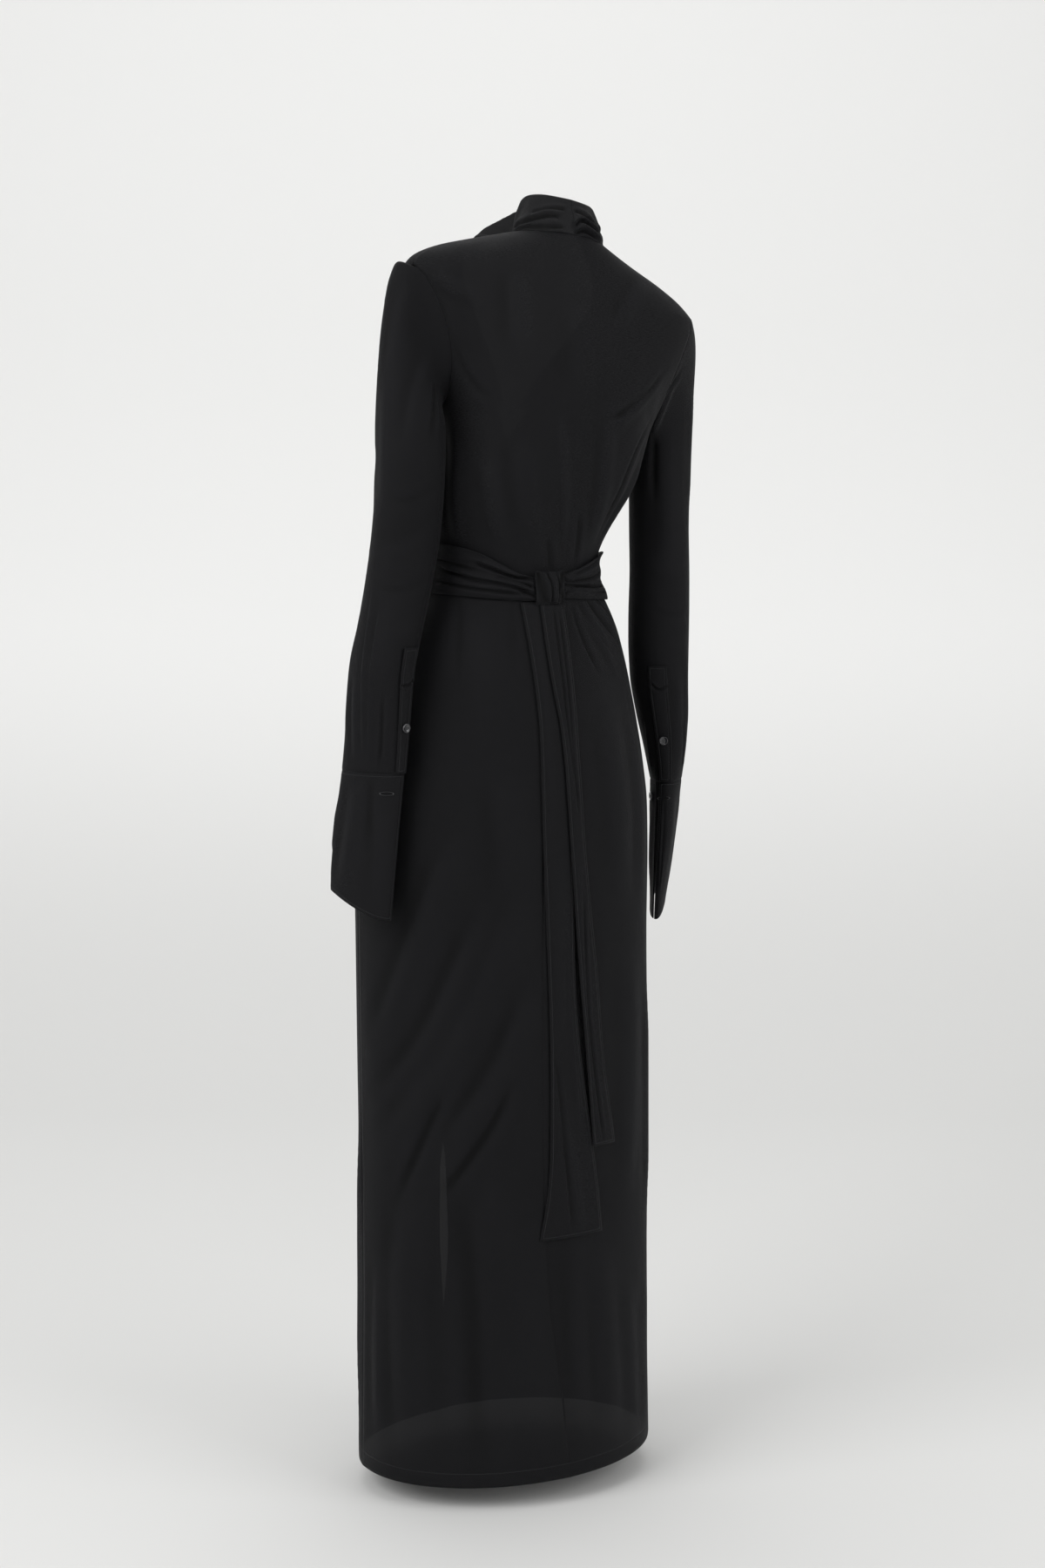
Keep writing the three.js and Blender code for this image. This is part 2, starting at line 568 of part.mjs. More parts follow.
// Sash.
// The sash clears the over front, which ends just past the wearer's left side.
const sashLift = (angle) => LAP * smooth(angle < 180 ? Math.abs(angle) : 360 - angle, 78, 92);

function sashOut(angle, across) {
  const fold = SASH_FOLD * (0.5 - 0.5 * Math.cos(2 * Math.PI * SASH_FOLDS * across));
  return SASH_CLEAR + SASH_CLOTH + sashLift(angle) + fold;
}

function makeSash(name, from, to, columns, rows) {
  const grid = (inset) => steps(0, 1, rows).map((t) => steps(from, to, columns).map((angle) => {
    const height = mix(read(SASH, angle, 'low', 'angle'), read(SASH, angle, 'high', 'angle'), t);
    return bodyPoint(angle, height).addScaledVector(bodyNormal(angle, height), sashOut(angle, t) - inset);
  }));
  return piece(name, wallBetween(grid(0), grid(SASH_CLOTH), false), cloth('jersey'));
}

// A point that lies out from the back at an X and a height.
function backPoint(x, height, out) {
  const rows = height >= WAIST ? BODICE : SKIRT;
  const angle = THREE.MathUtils.radToDeg(Math.asin((x - read(rows, height, 'x')) / read(rows, height, 'width')));
  return bodyPoint(angle, height).addScaledVector(bodyNormal(angle, height), out);
}

function makeKnot() {
  const { left, right, top, low, rise, clear } = KNOT;
  const grid = (inset) => steps(low, top, 7).map((height, i) => steps(right, left, 5).map((x, j) => {
    const over = Math.sin(Math.PI * Math.min((i + 1) / 8, 1));
    const round = Math.sin((Math.PI * j) / 5);
    const rest = mix(TAIL_SHORT_CLEAR, clear, smooth(height, low, low + 6));
    return backPoint(x, height, rest + SASH_CLOTH + rise * over * round - inset);
  }));
  return piece('sash_knot', wallBetween(grid(0), grid(SASH_CLOTH), false), cloth('jersey'));
}

function makeTail(name, rows, clear, fold, columns, count) {
  const heights = steps(rows[0].height, rows.at(-1).height, count);
  const grid = (inset) => heights.map((height) => steps(0, 1, columns).map((t) => {
    const x = mix(read(rows, height, 'right'), read(rows, height, 'left'), t);
    return backPoint(x, height, clear + TAIL_CLOTH + fold * Math.sin(Math.PI * t) - inset);
  }));
  return piece(name, wallBetween(grid(0), grid(TAIL_CLOTH), false), cloth('jersey'));
}

const group = new THREE.Group();
group.add(...makeBodice(), ...makeSkirt());
for (const [side, word] of [[1, 'left'], [-1, 'right']]) {
  group.add(makeSleeve(side, `sleeve_${word}`), makeCuff(side, `cuff_${word}`));
  group.add(makePlacket(side, `placket_${word}`), makeCollar(side, `collar_${word}`));
  const stack = PLACKET.clear + PLACKET.cloth + BUTTON.clear;
  const seat = onSleeve(side, PLACKET.angle, BUTTON.height, stack);
  group.add(makeButton(`button_${word}`, seat, sleeveNormal(side, PLACKET.angle, BUTTON.height)));
  const far = CUFF.open + CUFF.gap + CUFF_BUTTON_ROUND;
  const spot = onSleeve(side, far, CUFF_BUTTON_HEIGHT, CUFF_BUTTON_OUT);
  group.add(makeButton(`cuff_button_${word}`, spot, sleeveNormal(side, far, CUFF_BUTTON_HEIGHT)));
}
group.add(makeSash('sash_left', SASH_KNOT_SIDES.left, 99.8, 10, 7));
group.add(makeSash('sash_right', -99.8, SASH_KNOT_SIDES.right, 10, 7));
group.add(makeSash('sash_front', 100.2, 259.8, 14, 7));
group.add(makeKnot());
group.add(makeTail('sash_tail_long', LONG_RISING, TAIL_LONG_CLEAR, 0.8, 4, 16));
group.add(makeTail('sash_tail_short', SHORT_RISING, TAIL_SHORT_CLEAR, 0.8, 3, 14));
group.position.z = -HOLD_HEIGHT;

export default group;
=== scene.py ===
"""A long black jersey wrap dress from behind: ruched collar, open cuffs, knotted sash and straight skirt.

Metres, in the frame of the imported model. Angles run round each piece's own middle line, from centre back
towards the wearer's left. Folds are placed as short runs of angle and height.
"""
import enum
import logging
import math
from dataclasses import dataclass, field

import bmesh
import bpy
import numpy as np
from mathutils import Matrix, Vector
from mathutils.bvhtree import BVHTree
from mathutils.kdtree import KDTree


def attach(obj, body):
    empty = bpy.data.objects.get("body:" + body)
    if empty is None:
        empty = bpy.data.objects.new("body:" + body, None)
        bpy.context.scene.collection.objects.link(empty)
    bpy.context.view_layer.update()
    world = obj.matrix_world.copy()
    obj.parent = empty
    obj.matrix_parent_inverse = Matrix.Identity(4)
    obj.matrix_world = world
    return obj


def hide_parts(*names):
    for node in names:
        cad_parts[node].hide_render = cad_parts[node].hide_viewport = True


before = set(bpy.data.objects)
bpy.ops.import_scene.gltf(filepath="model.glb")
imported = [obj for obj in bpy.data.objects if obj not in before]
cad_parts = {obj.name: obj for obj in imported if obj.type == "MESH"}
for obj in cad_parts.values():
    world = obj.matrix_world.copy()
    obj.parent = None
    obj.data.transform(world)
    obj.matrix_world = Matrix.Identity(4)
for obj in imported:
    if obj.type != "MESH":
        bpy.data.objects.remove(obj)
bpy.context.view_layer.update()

log = logging.getLogger("wrap_dress")

FLOOR_Z = -1.480
FLOOR_BAND, WALL_BAND = FLOOR_Z + 0.02, FLOOR_Z + 0.9
DRESS_MIDDLE = Vector((0, 0, -0.75))
MOST_LIFT = 0.0042
Run = tuple[tuple[float, float], ...]
MiddleLine = tuple[tuple[float, float, float], ...]


@dataclass
class Studio:
    """Camera, pale seamless ground with painted shade on its floor, and soft lights."""

    distance: float = 3.191
    eye_height: float = -0.202
    aside: float = 0.0234
    tilt: float = math.radians(7.2)
    lens: float = 60.0
    painted_shade_floor_tone: tuple[float, float, float, float] = (0.70, 0.70, 0.692, 1)
    wall_tone: tuple[float, float, float, float] = (0.885, 0.885, 0.878, 1)
    surround: float = 0.6
    behind: Vector = field(default_factory=lambda: Vector((0.375, 0.927, 0.0)).normalized())
    to_right: Vector = field(default_factory=lambda: Vector((-0.927, 0.375, 0.0)).normalized())

    def camera(self) -> None:
        """Places the camera behind the dress, a little to the wearer's left."""
        data = bpy.data.cameras.new("view")
        data.lens, data.sensor_fit = self.lens, "VERTICAL"
        data.sensor_height = 36.0
        obj = bpy.data.objects.new("view", data)
        obj.location = self.behind * self.distance + self.to_right * self.aside
        obj.location.z = self.eye_height
        ahead = -self.behind * math.cos(self.tilt) - Vector((0, 0, math.sin(self.tilt)))
        obj.rotation_euler = ahead.to_track_quat("-Z", "Y").to_euler()
        bpy.context.collection.objects.link(obj)
        bpy.context.scene.camera = obj

    def ground(self) -> None:
        """Builds a pale floor that turns up into a wall in one curve, square to the view."""
        bm = bmesh.new()
        near, far, bend, top, half_wide = -5.0, 3.4, 1.6, 5.2, 6.0
        steps = 14
        line = [(near, 0.0), (far - bend, 0.0)]
        line += [(far - bend + bend * math.sin(t), bend * (1 - math.cos(t)))
                 for t in (math.pi / 2 * (k + 1) / steps for k in range(steps))]
        line.append((far, top))
        rail = [bm.verts.new(-self.behind * a - self.to_right * half_wide + Vector((0, 0, FLOOR_Z + z)))
                for a, z in line]
        edges = [bm.edges.new(pair) for pair in zip(rail, rail[1:])]
        sheet = bmesh.ops.extrude_edge_only(bm, edges=edges)["geom"]
        moved = [g for g in sheet if isinstance(g, bmesh.types.BMVert)]
        bmesh.ops.translate(bm, verts=moved, vec=self.to_right * 2 * half_wide)
        bmesh.ops.recalc_face_normals(bm, faces=bm.faces)
        if bm.faces[0].normal.z < 0:
            bmesh.ops.reverse_faces(bm, faces=bm.faces)
        obj = new_object("seamless_ground", bm)
        shade_smooth(obj.data)
        paper, n, base = new_material("pale_paper")
        place = n.add("ShaderNodeTexCoord").outputs["Object"]
        rise = n.add("ShaderNodeSeparateXYZ", {0: place}).outputs[2]
        # Painted shade: the one paper is darker on the floor and lighter up the wall, blended over the
        # bend, standing in for how the light falls.
        tone = n.blend(n.span(rise, FLOOR_BAND, WALL_BAND), self.painted_shade_floor_tone, self.wall_tone)
        paper.node_tree.links.new(tone, base.inputs["Base Color"])
        base.inputs["Roughness"].default_value = 0.95
        base.inputs["Specular IOR Level"].default_value = 0.1
        obj.data.materials.append(paper)

    def light(self, name: str, azimuth: float, height: float, away: float, size: float,
              watts: float) -> None:
        """Adds one large soft light that faces the middle of the dress.

        Args:
            name: What the light does.
            azimuth: Degrees from straight behind the dress towards the picture's right.
            height: Height above the floor.
            away: Distance on the ground.
            size: Side of the square.
            watts: Power.
        """
        data = bpy.data.lights.new(name, "AREA")
        data.shape, data.size, data.energy = "SQUARE", size, watts
        turn = math.radians(azimuth)
        spot = (self.behind * math.cos(turn) + self.to_right * math.sin(turn)) * away
        obj = bpy.data.objects.new(name, data)
        obj.location = spot + Vector((0, 0, FLOOR_Z + height))
        obj.rotation_euler = (DRESS_MIDDLE - obj.location).to_track_quat("-Z", "Y").to_euler()
        bpy.context.collection.objects.link(obj)

    def build(self) -> None:
        """Sets camera, ground, soft surround and three lights."""
        self.camera()
        self.ground()
        world = bpy.data.worlds.new("soft_surround")
        world.use_nodes = True
        world.node_tree.nodes["Background"].inputs["Color"].default_value = (1.0, 1.0, 0.995, 1)
        world.node_tree.nodes["Background"].inputs["Strength"].default_value = self.surround
        bpy.context.scene.world = world
        bpy.context.scene.view_settings.view_transform = "Standard"
        self.light("key", -50.0, 2.9, 3.2, 2.4, 78.0)
        self.light("fill", 60.0, 2.2, 3.5, 2.4, 42.0)
        self.light("wall_wash", 180.0, 4.2, 1.2, 3.0, 34.0)


def new_object(name: str, bm: bmesh.types.BMesh) -> bpy.types.Object:
    """Turns a bmesh into an object at the origin and frees the bmesh."""
    mesh = bpy.data.meshes.new(name)
    bm.to_mesh(mesh)
    bm.free()
    obj = bpy.data.objects.new(name, mesh)
    bpy.context.collection.objects.link(obj)
    return obj


def shade_smooth(mesh: bpy.types.Mesh) -> None:
    """Shades every face smooth."""
    mesh.polygons.foreach_set("use_smooth", np.ones(len(mesh.polygons), dtype=bool))


def evaluated(obj: bpy.types.Object) -> bpy.types.Mesh:
    """Returns the mesh that an object's modifiers make."""
    graph = bpy.context.evaluated_depsgraph_get()
    graph.update()
    return bpy.data.meshes.new_from_object(obj.evaluated_get(graph))


class Nodes:
    """Short calls for making nodes and links in one tree."""

    def __init__(self, tree: bpy.types.NodeTree) -> None:
        """Keeps the tree."""
        self.tree = tree

    def add(self, kind: str, values: dict | None = None, **props: object) -> bpy.types.Node:
        """Adds a node.

        Args:
            kind: The node's type.
            values: What its inputs hold, or the sockets that feed them, by name or number.
            **props: Its other settings.

        Returns:
            The node.
        """
        node = self.tree.nodes.new(kind)
        for key, value in props.items():
            setattr(node, key, value)
        for key, value in (values or {}).items():
            if isinstance(value, bpy.types.NodeSocket):
                self.tree.links.new(value, node.inputs[key])
            else:
                node.inputs[key].default_value = value
        return node

    def math(self, how: str, a: object, b: object = 0.0) -> bpy.types.NodeSocket:
        """Adds a Math node and returns its result."""
        return self.add("ShaderNodeMath", {0: a, 1: b}, operation=how).outputs[0]

    def span(self, value: object, low: float, high: float, to_low: float = 0.0,
             to_high: float = 1.0) -> bpy.types.NodeSocket:
        """Adds a smooth Map Range and returns its result."""
        made = self.add("ShaderNodeMapRange", {0: value, 1: low, 2: high, 3: to_low, 4: to_high},
                        interpolation_type="SMOOTHSTEP")
        return made.outputs[0]

    def blend(self, factor: object, first: object, second: object) -> bpy.types.NodeSocket:
        """Adds a Mix node for two colours and returns its result."""
        values = {"Factor": factor, 6: first, 7: second}
        return self.add("ShaderNodeMix", values, data_type="RGBA").outputs[2]

    def bump(self, height: bpy.types.NodeSocket, distance: float, strength: float,
             under: bpy.types.NodeSocket | None = None) -> bpy.types.NodeSocket:
        """Adds a Bump node, over another where one is given, and returns its normal."""
        values = {"Height": height, "Distance": distance, "Strength": strength}
        return self.add("ShaderNodeBump", values | ({"Normal": under} if under else {})).outputs[0]


def new_material(name: str) -> tuple[bpy.types.Material, Nodes, bpy.types.Node]:
    """Makes a material and returns it with its node maker and its base shader."""
    made = bpy.data.materials.new(name)
    made.use_nodes = True
    return made, Nodes(made.node_tree), made.node_tree.nodes["Principled BSDF"]


def new_group(name: str, inputs: dict[str, tuple[str, object]],
              outputs: dict[str, str]) -> bpy.types.NodeTree:
    """Makes a shader group with named sockets.

    Args:
        name: Name of the group.
        inputs: Kind and first value of each input.
        outputs: Kind of each output.

    Returns:
        The group's tree, with its two end nodes.
    """
    group = bpy.data.node_groups.new(name, "ShaderNodeTree")
    for label, (kind, value) in inputs.items():
        socket = group.interface.new_socket(label, in_out="INPUT", socket_type=kind)
        if value is not None:
            socket.default_value = value
    for label, kind in outputs.items():
        group.interface.new_socket(label, in_out="OUTPUT", socket_type=kind)
    group.nodes.new("NodeGroupInput")
    group.nodes.new("NodeGroupOutput")
    return group


FLOAT, VECTOR = "NodeSocketFloat", "NodeSocketVector"


def knit_group() -> bpy.types.NodeTree:
    """Fine single-jersey knit: upright wales crossed by rows of small loops, with a little slub."""
    sockets = {"Cloth Map": (VECTOR, None), "Wale": (FLOAT, 0.0011), "Course": (FLOAT, 0.0008)}
    group = new_group("fine_knit", sockets, {"Height": FLOAT, "Slub": FLOAT})
    n = Nodes(group)
    came = group.nodes["Group Input"].outputs
    parts = n.add("ShaderNodeSeparateXYZ", {0: came["Cloth Map"]}).outputs
    u = n.math("DIVIDE", parts[0], came["Wale"])
    v = n.math("DIVIDE", parts[1], came["Course"])
    wale = n.math("ABSOLUTE", n.math("SINE", n.math("MULTIPLY", u, math.pi)))
    zigzag = n.math("ABSOLUTE", n.math("SUBTRACT", n.math("FRACT", u), 0.5))
    loop = n.math("SINE", n.math("MULTIPLY", n.math("ADD", v, zigzag), 2 * math.pi))
    slub = n.add("ShaderNodeTexNoise", {"Vector": n.add("ShaderNodeVectorMath", {
        0: came["Cloth Map"], 1: (260.0, 1400.0, 1.0)}, operation="MULTIPLY").outputs[0],
        "Scale": 1.0, "Detail": 2.0}, noise_dimensions="2D").outputs[0]
    height = n.math("ADD", n.math("MULTIPLY", wale, 0.6), n.math("MULTIPLY", loop, 0.22))
    height = n.math("ADD", height, n.math("MULTIPLY", slub, 0.5))
    ends = group.nodes["Group Output"].inputs
    group.links.new(height, ends["Height"])
    group.links.new(slub, ends["Slub"])
    return group


def drape_group() -> bpy.types.NodeTree:
    """Long shallow unevenness of cloth that hangs, too soft for the listed folds."""
    group = new_group("soft_drape", {"Place": (VECTOR, None)}, {"Height": FLOAT, "Tone": FLOAT})
    n = Nodes(group)
    place = group.nodes["Group Input"].outputs["Place"]
    heights = []
    for stretch, scale in (((1.0, 1.0, 0.22), 21.0), ((1.0, 1.0, 0.5), 62.0)):
        at = n.add("ShaderNodeVectorMath", {0: place, 1: stretch}, operation="MULTIPLY").outputs[0]
        heights.append(n.add("ShaderNodeTexNoise", {"Vector": at, "Scale": scale, "Detail": 1.5,
                                                    "Distortion": 0.3}).outputs[0])
    both = n.math("ADD", heights[0], n.math("MULTIPLY", heights[1], 0.22))
    ends = group.nodes["Group Output"].inputs
    group.links.new(both, ends["Height"])
    group.links.new(n.span(heights[0], 0.3, 0.7), ends["Tone"])
    return group


def stitch_group() -> bpy.types.NodeTree:
    """One row of stitches at a set distance from an edge, sunk into the cloth."""
    sockets = {"Edge Map": (VECTOR, None), "Inset": (FLOAT, 0.004), "Pitch": (FLOAT, 0.0026)}
    group = new_group("stitch_row", sockets, {"Height": FLOAT, "Thread": FLOAT})
    n = Nodes(group)
    came = group.nodes["Group Input"].outputs
    parts = n.add("ShaderNodeSeparateXYZ", {0: came["Edge Map"]}).outputs
    off = n.math("ABSOLUTE", n.math("SUBTRACT", parts[1], came["Inset"]))
    groove = n.span(off, 0.0004, 0.0016, 1.0, 0.0)
    line = n.span(off, 0.00015, 0.00045, 1.0, 0.0)
    beat = n.math("SINE", n.math("MULTIPLY", n.math("DIVIDE", parts[0], came["Pitch"]), 2 * math.pi))
    thread = n.math("MULTIPLY", line, n.span(beat, -0.7, -0.2))
    turned = n.span(n.math("SUBTRACT", came["Inset"], parts[1]), -0.0006, 0.0004)
    height = n.math("ADD", n.math("MULTIPLY", groove, -1.0), n.math("MULTIPLY", thread, 0.8))
    height = n.math("ADD", height, n.math("MULTIPLY", turned, 0.6))
    ends = group.nodes["Group Output"].inputs
    group.links.new(height, ends["Height"])
    group.links.new(thread, ends["Thread"])
    return group


@dataclass(frozen=True)
class Jersey:
    """Thin black jersey, slightly see-through, with painted shade in its fold valleys. stitch is the inset
    of a stitched row, or 0 for none.
    """

    name: str
    stitch: float = 0.0
    alpha: float = 0.92
    dark: tuple[float, float, float] = (0.0066, 0.0066, 0.0078)
    light: tuple[float, float, float] = (0.0084, 0.0084, 0.0098)
    # Colour of the painted shade in fold valleys.
    painted_crease_shade: tuple[float, float, float] = (0.0016, 0.0016, 0.0019)
    thread: tuple[float, float, float] = (0.042, 0.042, 0.045)
    wale: float = 0.0011
    course: float = 0.0008
    pitch: float = 0.0026

    def build(self, groups: dict[str, bpy.types.NodeTree]) -> bpy.types.Material:
        """Makes the material from the shared groups."""
        made, n, base = new_material(self.name)
        cloth_map = n.add("ShaderNodeUVMap", uv_map="cloth").outputs[0]
        place = n.add("ShaderNodeTexCoord").outputs["Object"]
        knit = n.add("ShaderNodeGroup", node_tree=groups["knit"])
        made.node_tree.links.new(cloth_map, knit.inputs["Cloth Map"])
        knit.inputs["Wale"].default_value, knit.inputs["Course"].default_value = self.wale, self.course
        drape = n.add("ShaderNodeGroup", node_tree=groups["drape"])
        made.node_tree.links.new(place, drape.inputs["Place"])
        tone = n.math("ADD", n.math("MULTIPLY", drape.outputs["Tone"], 0.6),
                      n.math("MULTIPLY", knit.outputs["Slub"], 0.4))
        # Painted shade: the fold depth mixes the base colour towards the dark crease colour, most in fold
        # valleys and least on raised cloth.
        lift = n.add("ShaderNodeAttribute", attribute_name="fold").outputs["Fac"]
        shade = n.blend(n.span(lift, -0.0026, 0.0012, 0.0, 0.725), (*self.painted_crease_shade, 1),
                        n.blend(tone, (*self.dark, 1), (*self.light, 1)))
        normal = n.bump(drape.outputs["Height"], 0.0016, 0.5)
        normal = n.bump(knit.outputs["Height"], 0.00012, 0.5, normal)
        if self.stitch:
            row = n.add("ShaderNodeGroup", node_tree=groups["stitch"])
            edge = n.add("ShaderNodeUVMap", uv_map="edge").outputs[0]
            made.node_tree.links.new(edge, row.inputs["Edge Map"])
            row.inputs["Inset"].default_value, row.inputs["Pitch"].default_value = self.stitch, self.pitch
            normal = n.bump(row.outputs["Height"], 0.0005, 0.9, normal)
            shade = n.blend(n.math("MULTIPLY", row.outputs["Thread"], 0.7), shade, (*self.thread, 1))
        rough = n.span(knit.outputs["Slub"], 0.3, 0.7, 0.72, 0.86)
        for socket, value in (("Base Color", shade), ("Roughness", rough), ("Normal", normal)):
            made.node_tree.links.new(value, base.inputs[socket])
        base.inputs["Specular IOR Level"].default_value = 0.16
        base.inputs["Sheen Weight"].default_value = 0.03
        base.inputs["Sheen Roughness"].default_value = 0.45
        base.inputs["Sheen Tint"].default_value = (0.6, 0.6, 0.63, 1)
        base.inputs["Alpha"].default_value = self.alpha
        return made


@dataclass(frozen=True)
class ButtonShell:
    """Polished black button with a faint swirl."""

    name: str = "polished_black"

    def build(self) -> bpy.types.Material:
        """Makes the material."""
        made, n, base = new_material(self.name)
        place = n.add("ShaderNodeTexCoord").outputs["Object"]
        swirl = n.add("ShaderNodeTexNoise",
                      {"Vector": place, "Scale": 420.0, "Detail": 3.0, "Distortion": 2.5})
        marbled = n.span(swirl.outputs[0], 0.4, 0.65)
        colour = n.blend(marbled, (0.009, 0.009, 0.011, 1), (0.03, 0.03, 0.034, 1))
        worn = n.span(swirl.outputs[0], 0.3, 0.7, 0.16, 0.3)
        bump = n.bump(swirl.outputs[0], 0.00004, 0.3)
        for socket, value in (("Base Color", colour), ("Roughness", worn), ("Normal", bump)):
            made.node_tree.links.new(value, base.inputs[socket])
        base.inputs["Coat Weight"].default_value = 0.6
        base.inputs["Coat Roughness"].default_value = 0.08
        return made


@dataclass(frozen=True)
class Thread:
    """Twisted black sewing thread with a dull shine."""

    name: str = "sewing_thread"

    def build(self) -> bpy.types.Material:
        """Makes the material."""
        made, n, base = new_material(self.name)
        place = n.add("ShaderNodeTexCoord").outputs["Object"]
        twist = n.add("ShaderNodeTexWave",
                      {"Vector": place, "Scale": 900.0, "Distortion": 1.5, "Detail": 1.0})
        colour = n.blend(twist.outputs[1], (0.012, 0.012, 0.013, 1), (0.085, 0.085, 0.09, 1))
        made.node_tree.links.new(colour, base.inputs["Base Color"])
        made.node_tree.links.new(n.bump(twist.outputs[1], 0.0001, 0.6), base.inputs["Normal"])
        base.inputs["Roughness"].default_value = 0.5
        return made


class Shape(enum.Enum):
    """How a fold's surface runs across it."""

    ROLL = "soft rounded roll with a shallow dip beside it"
    TUCK = "narrow sharp valley between two small shoulders"
    GATHER = "the same valley, which keeps its depth into a seam"
    PLEAT = "flat step with a sharp edge on one side"


@dataclass(frozen=True)
class Fold:
    """One fold along a run of (angle, height) places, with its half width and depth in millimetres."""

    run: Run
    half: float
    depth: float
    shape: Shape = Shape.ROLL
    side: float = 1.0

    def lift(self, points: np.ndarray, normals: np.ndarray, path: np.ndarray) -> np.ndarray:
        """Works out how far each point moves out.

        Args:
            points: Places on the cloth.
            normals: Their directions out.
            path: The fold's run on the cloth, close together.

        Returns:
            Metres out for each point.
        """
        half, depth = self.half / 1000, self.depth / 1000
        low, high = path.min(axis=0) - 4 * half, path.max(axis=0) + 4 * half
        near = np.all((points > low) & (points < high), axis=1)
        out = np.zeros(len(points))
        if not near.any():
            return out
        p, n = points[near], normals[near]
        gap = p[:, None, :] - path[None, :, :]
        pick = (gap ** 2).sum(axis=2).argmin(axis=1)
        tangent = np.gradient(path, axis=0)
        tangent /= np.linalg.norm(tangent, axis=1, keepdims=True) + 1e-12
        delta = p - path[pick]
        along = (delta * tangent[pick]).sum(axis=1)
        across = (delta * np.cross(tangent[pick], n)).sum(axis=1) * self.side
        s = np.sqrt(across ** 2 + np.where((pick == 0) | (pick == len(path) - 1), along ** 2, 0)) \
            * np.where(across < 0, -1, 1) / half
        way = pick / (len(path) - 1)
        ends = np.clip(np.minimum(way, 1 - way) / (0.09 if self.shape is Shape.GATHER else 0.28), 0, 1)
        ends = (0.12 + 0.88 * ends * ends * (3 - 2 * ends)) * np.clip(3.2 - np.abs(s), 0, 1)
        if self.shape is Shape.ROLL:
            across_shape = np.exp(-s ** 2) - 0.4 * np.exp(-((s - 1.7) / 0.8) ** 2)
        elif self.shape in (Shape.TUCK, Shape.GATHER):
            across_shape = -np.exp(-(s / 0.55) ** 2) + 0.45 * np.exp(-((np.abs(s) - 1.3) / 0.7) ** 2)
        else:
            across_shape = np.where(s < 0, np.exp(-(s / 1.3) ** 2), np.exp(-(s / 0.3) ** 2))
        out[near] = depth * ends * across_shape
        return out


class Edge(enum.Enum):
    """Which free edges of a piece carry a row of stitches."""

    NONE = "no stitched edge"
    LOWER = "the lower edge"
    ALL_BUT_TOP = "every edge but the upper one"
    ALL = "every edge"


def corner_points(mesh: bpy.types.Mesh) -> np.ndarray:
    """Returns the places of a mesh's vertices, one a row."""
    points = np.empty(len(mesh.vertices) * 3)
    mesh.vertices.foreach_get("co", points)
    return points.reshape(-1, 3)


def distances(points: np.ndarray, ends: np.ndarray) -> np.ndarray:
    """Returns how far each point is from the nearest of those that `ends` numbers, or ones for none."""
    if not len(ends):
        return np.ones(len(points))
    tree = KDTree(len(ends))
    for k, index in enumerate(ends):
        tree.insert(points[index], k)
    tree.balance()
    return np.array([tree.find(p)[2] for p in points])


def edges_of(ring: list[bmesh.types.BMVert]) -> list[bmesh.types.BMEdge]:
    """Returns the edges at a ring's vertices, each once and in a fixed order."""
    return list(dict.fromkeys(e for v in ring for e in v.link_edges))


def way_out(angle: float) -> Vector:
    """Returns the level direction at an angle in degrees from centre back."""
    return Vector((math.sin(math.radians(angle)), math.cos(math.radians(angle)), 0))


def middle_at(middle: MiddleLine, z: float) -> tuple[float, float]:
    """Returns a middle line's x and y at a height."""
    heights, x_line, y_line = zip(*sorted(middle))
    return float(np.interp(z, heights, x_line)), float(np.interp(z, heights, y_line))


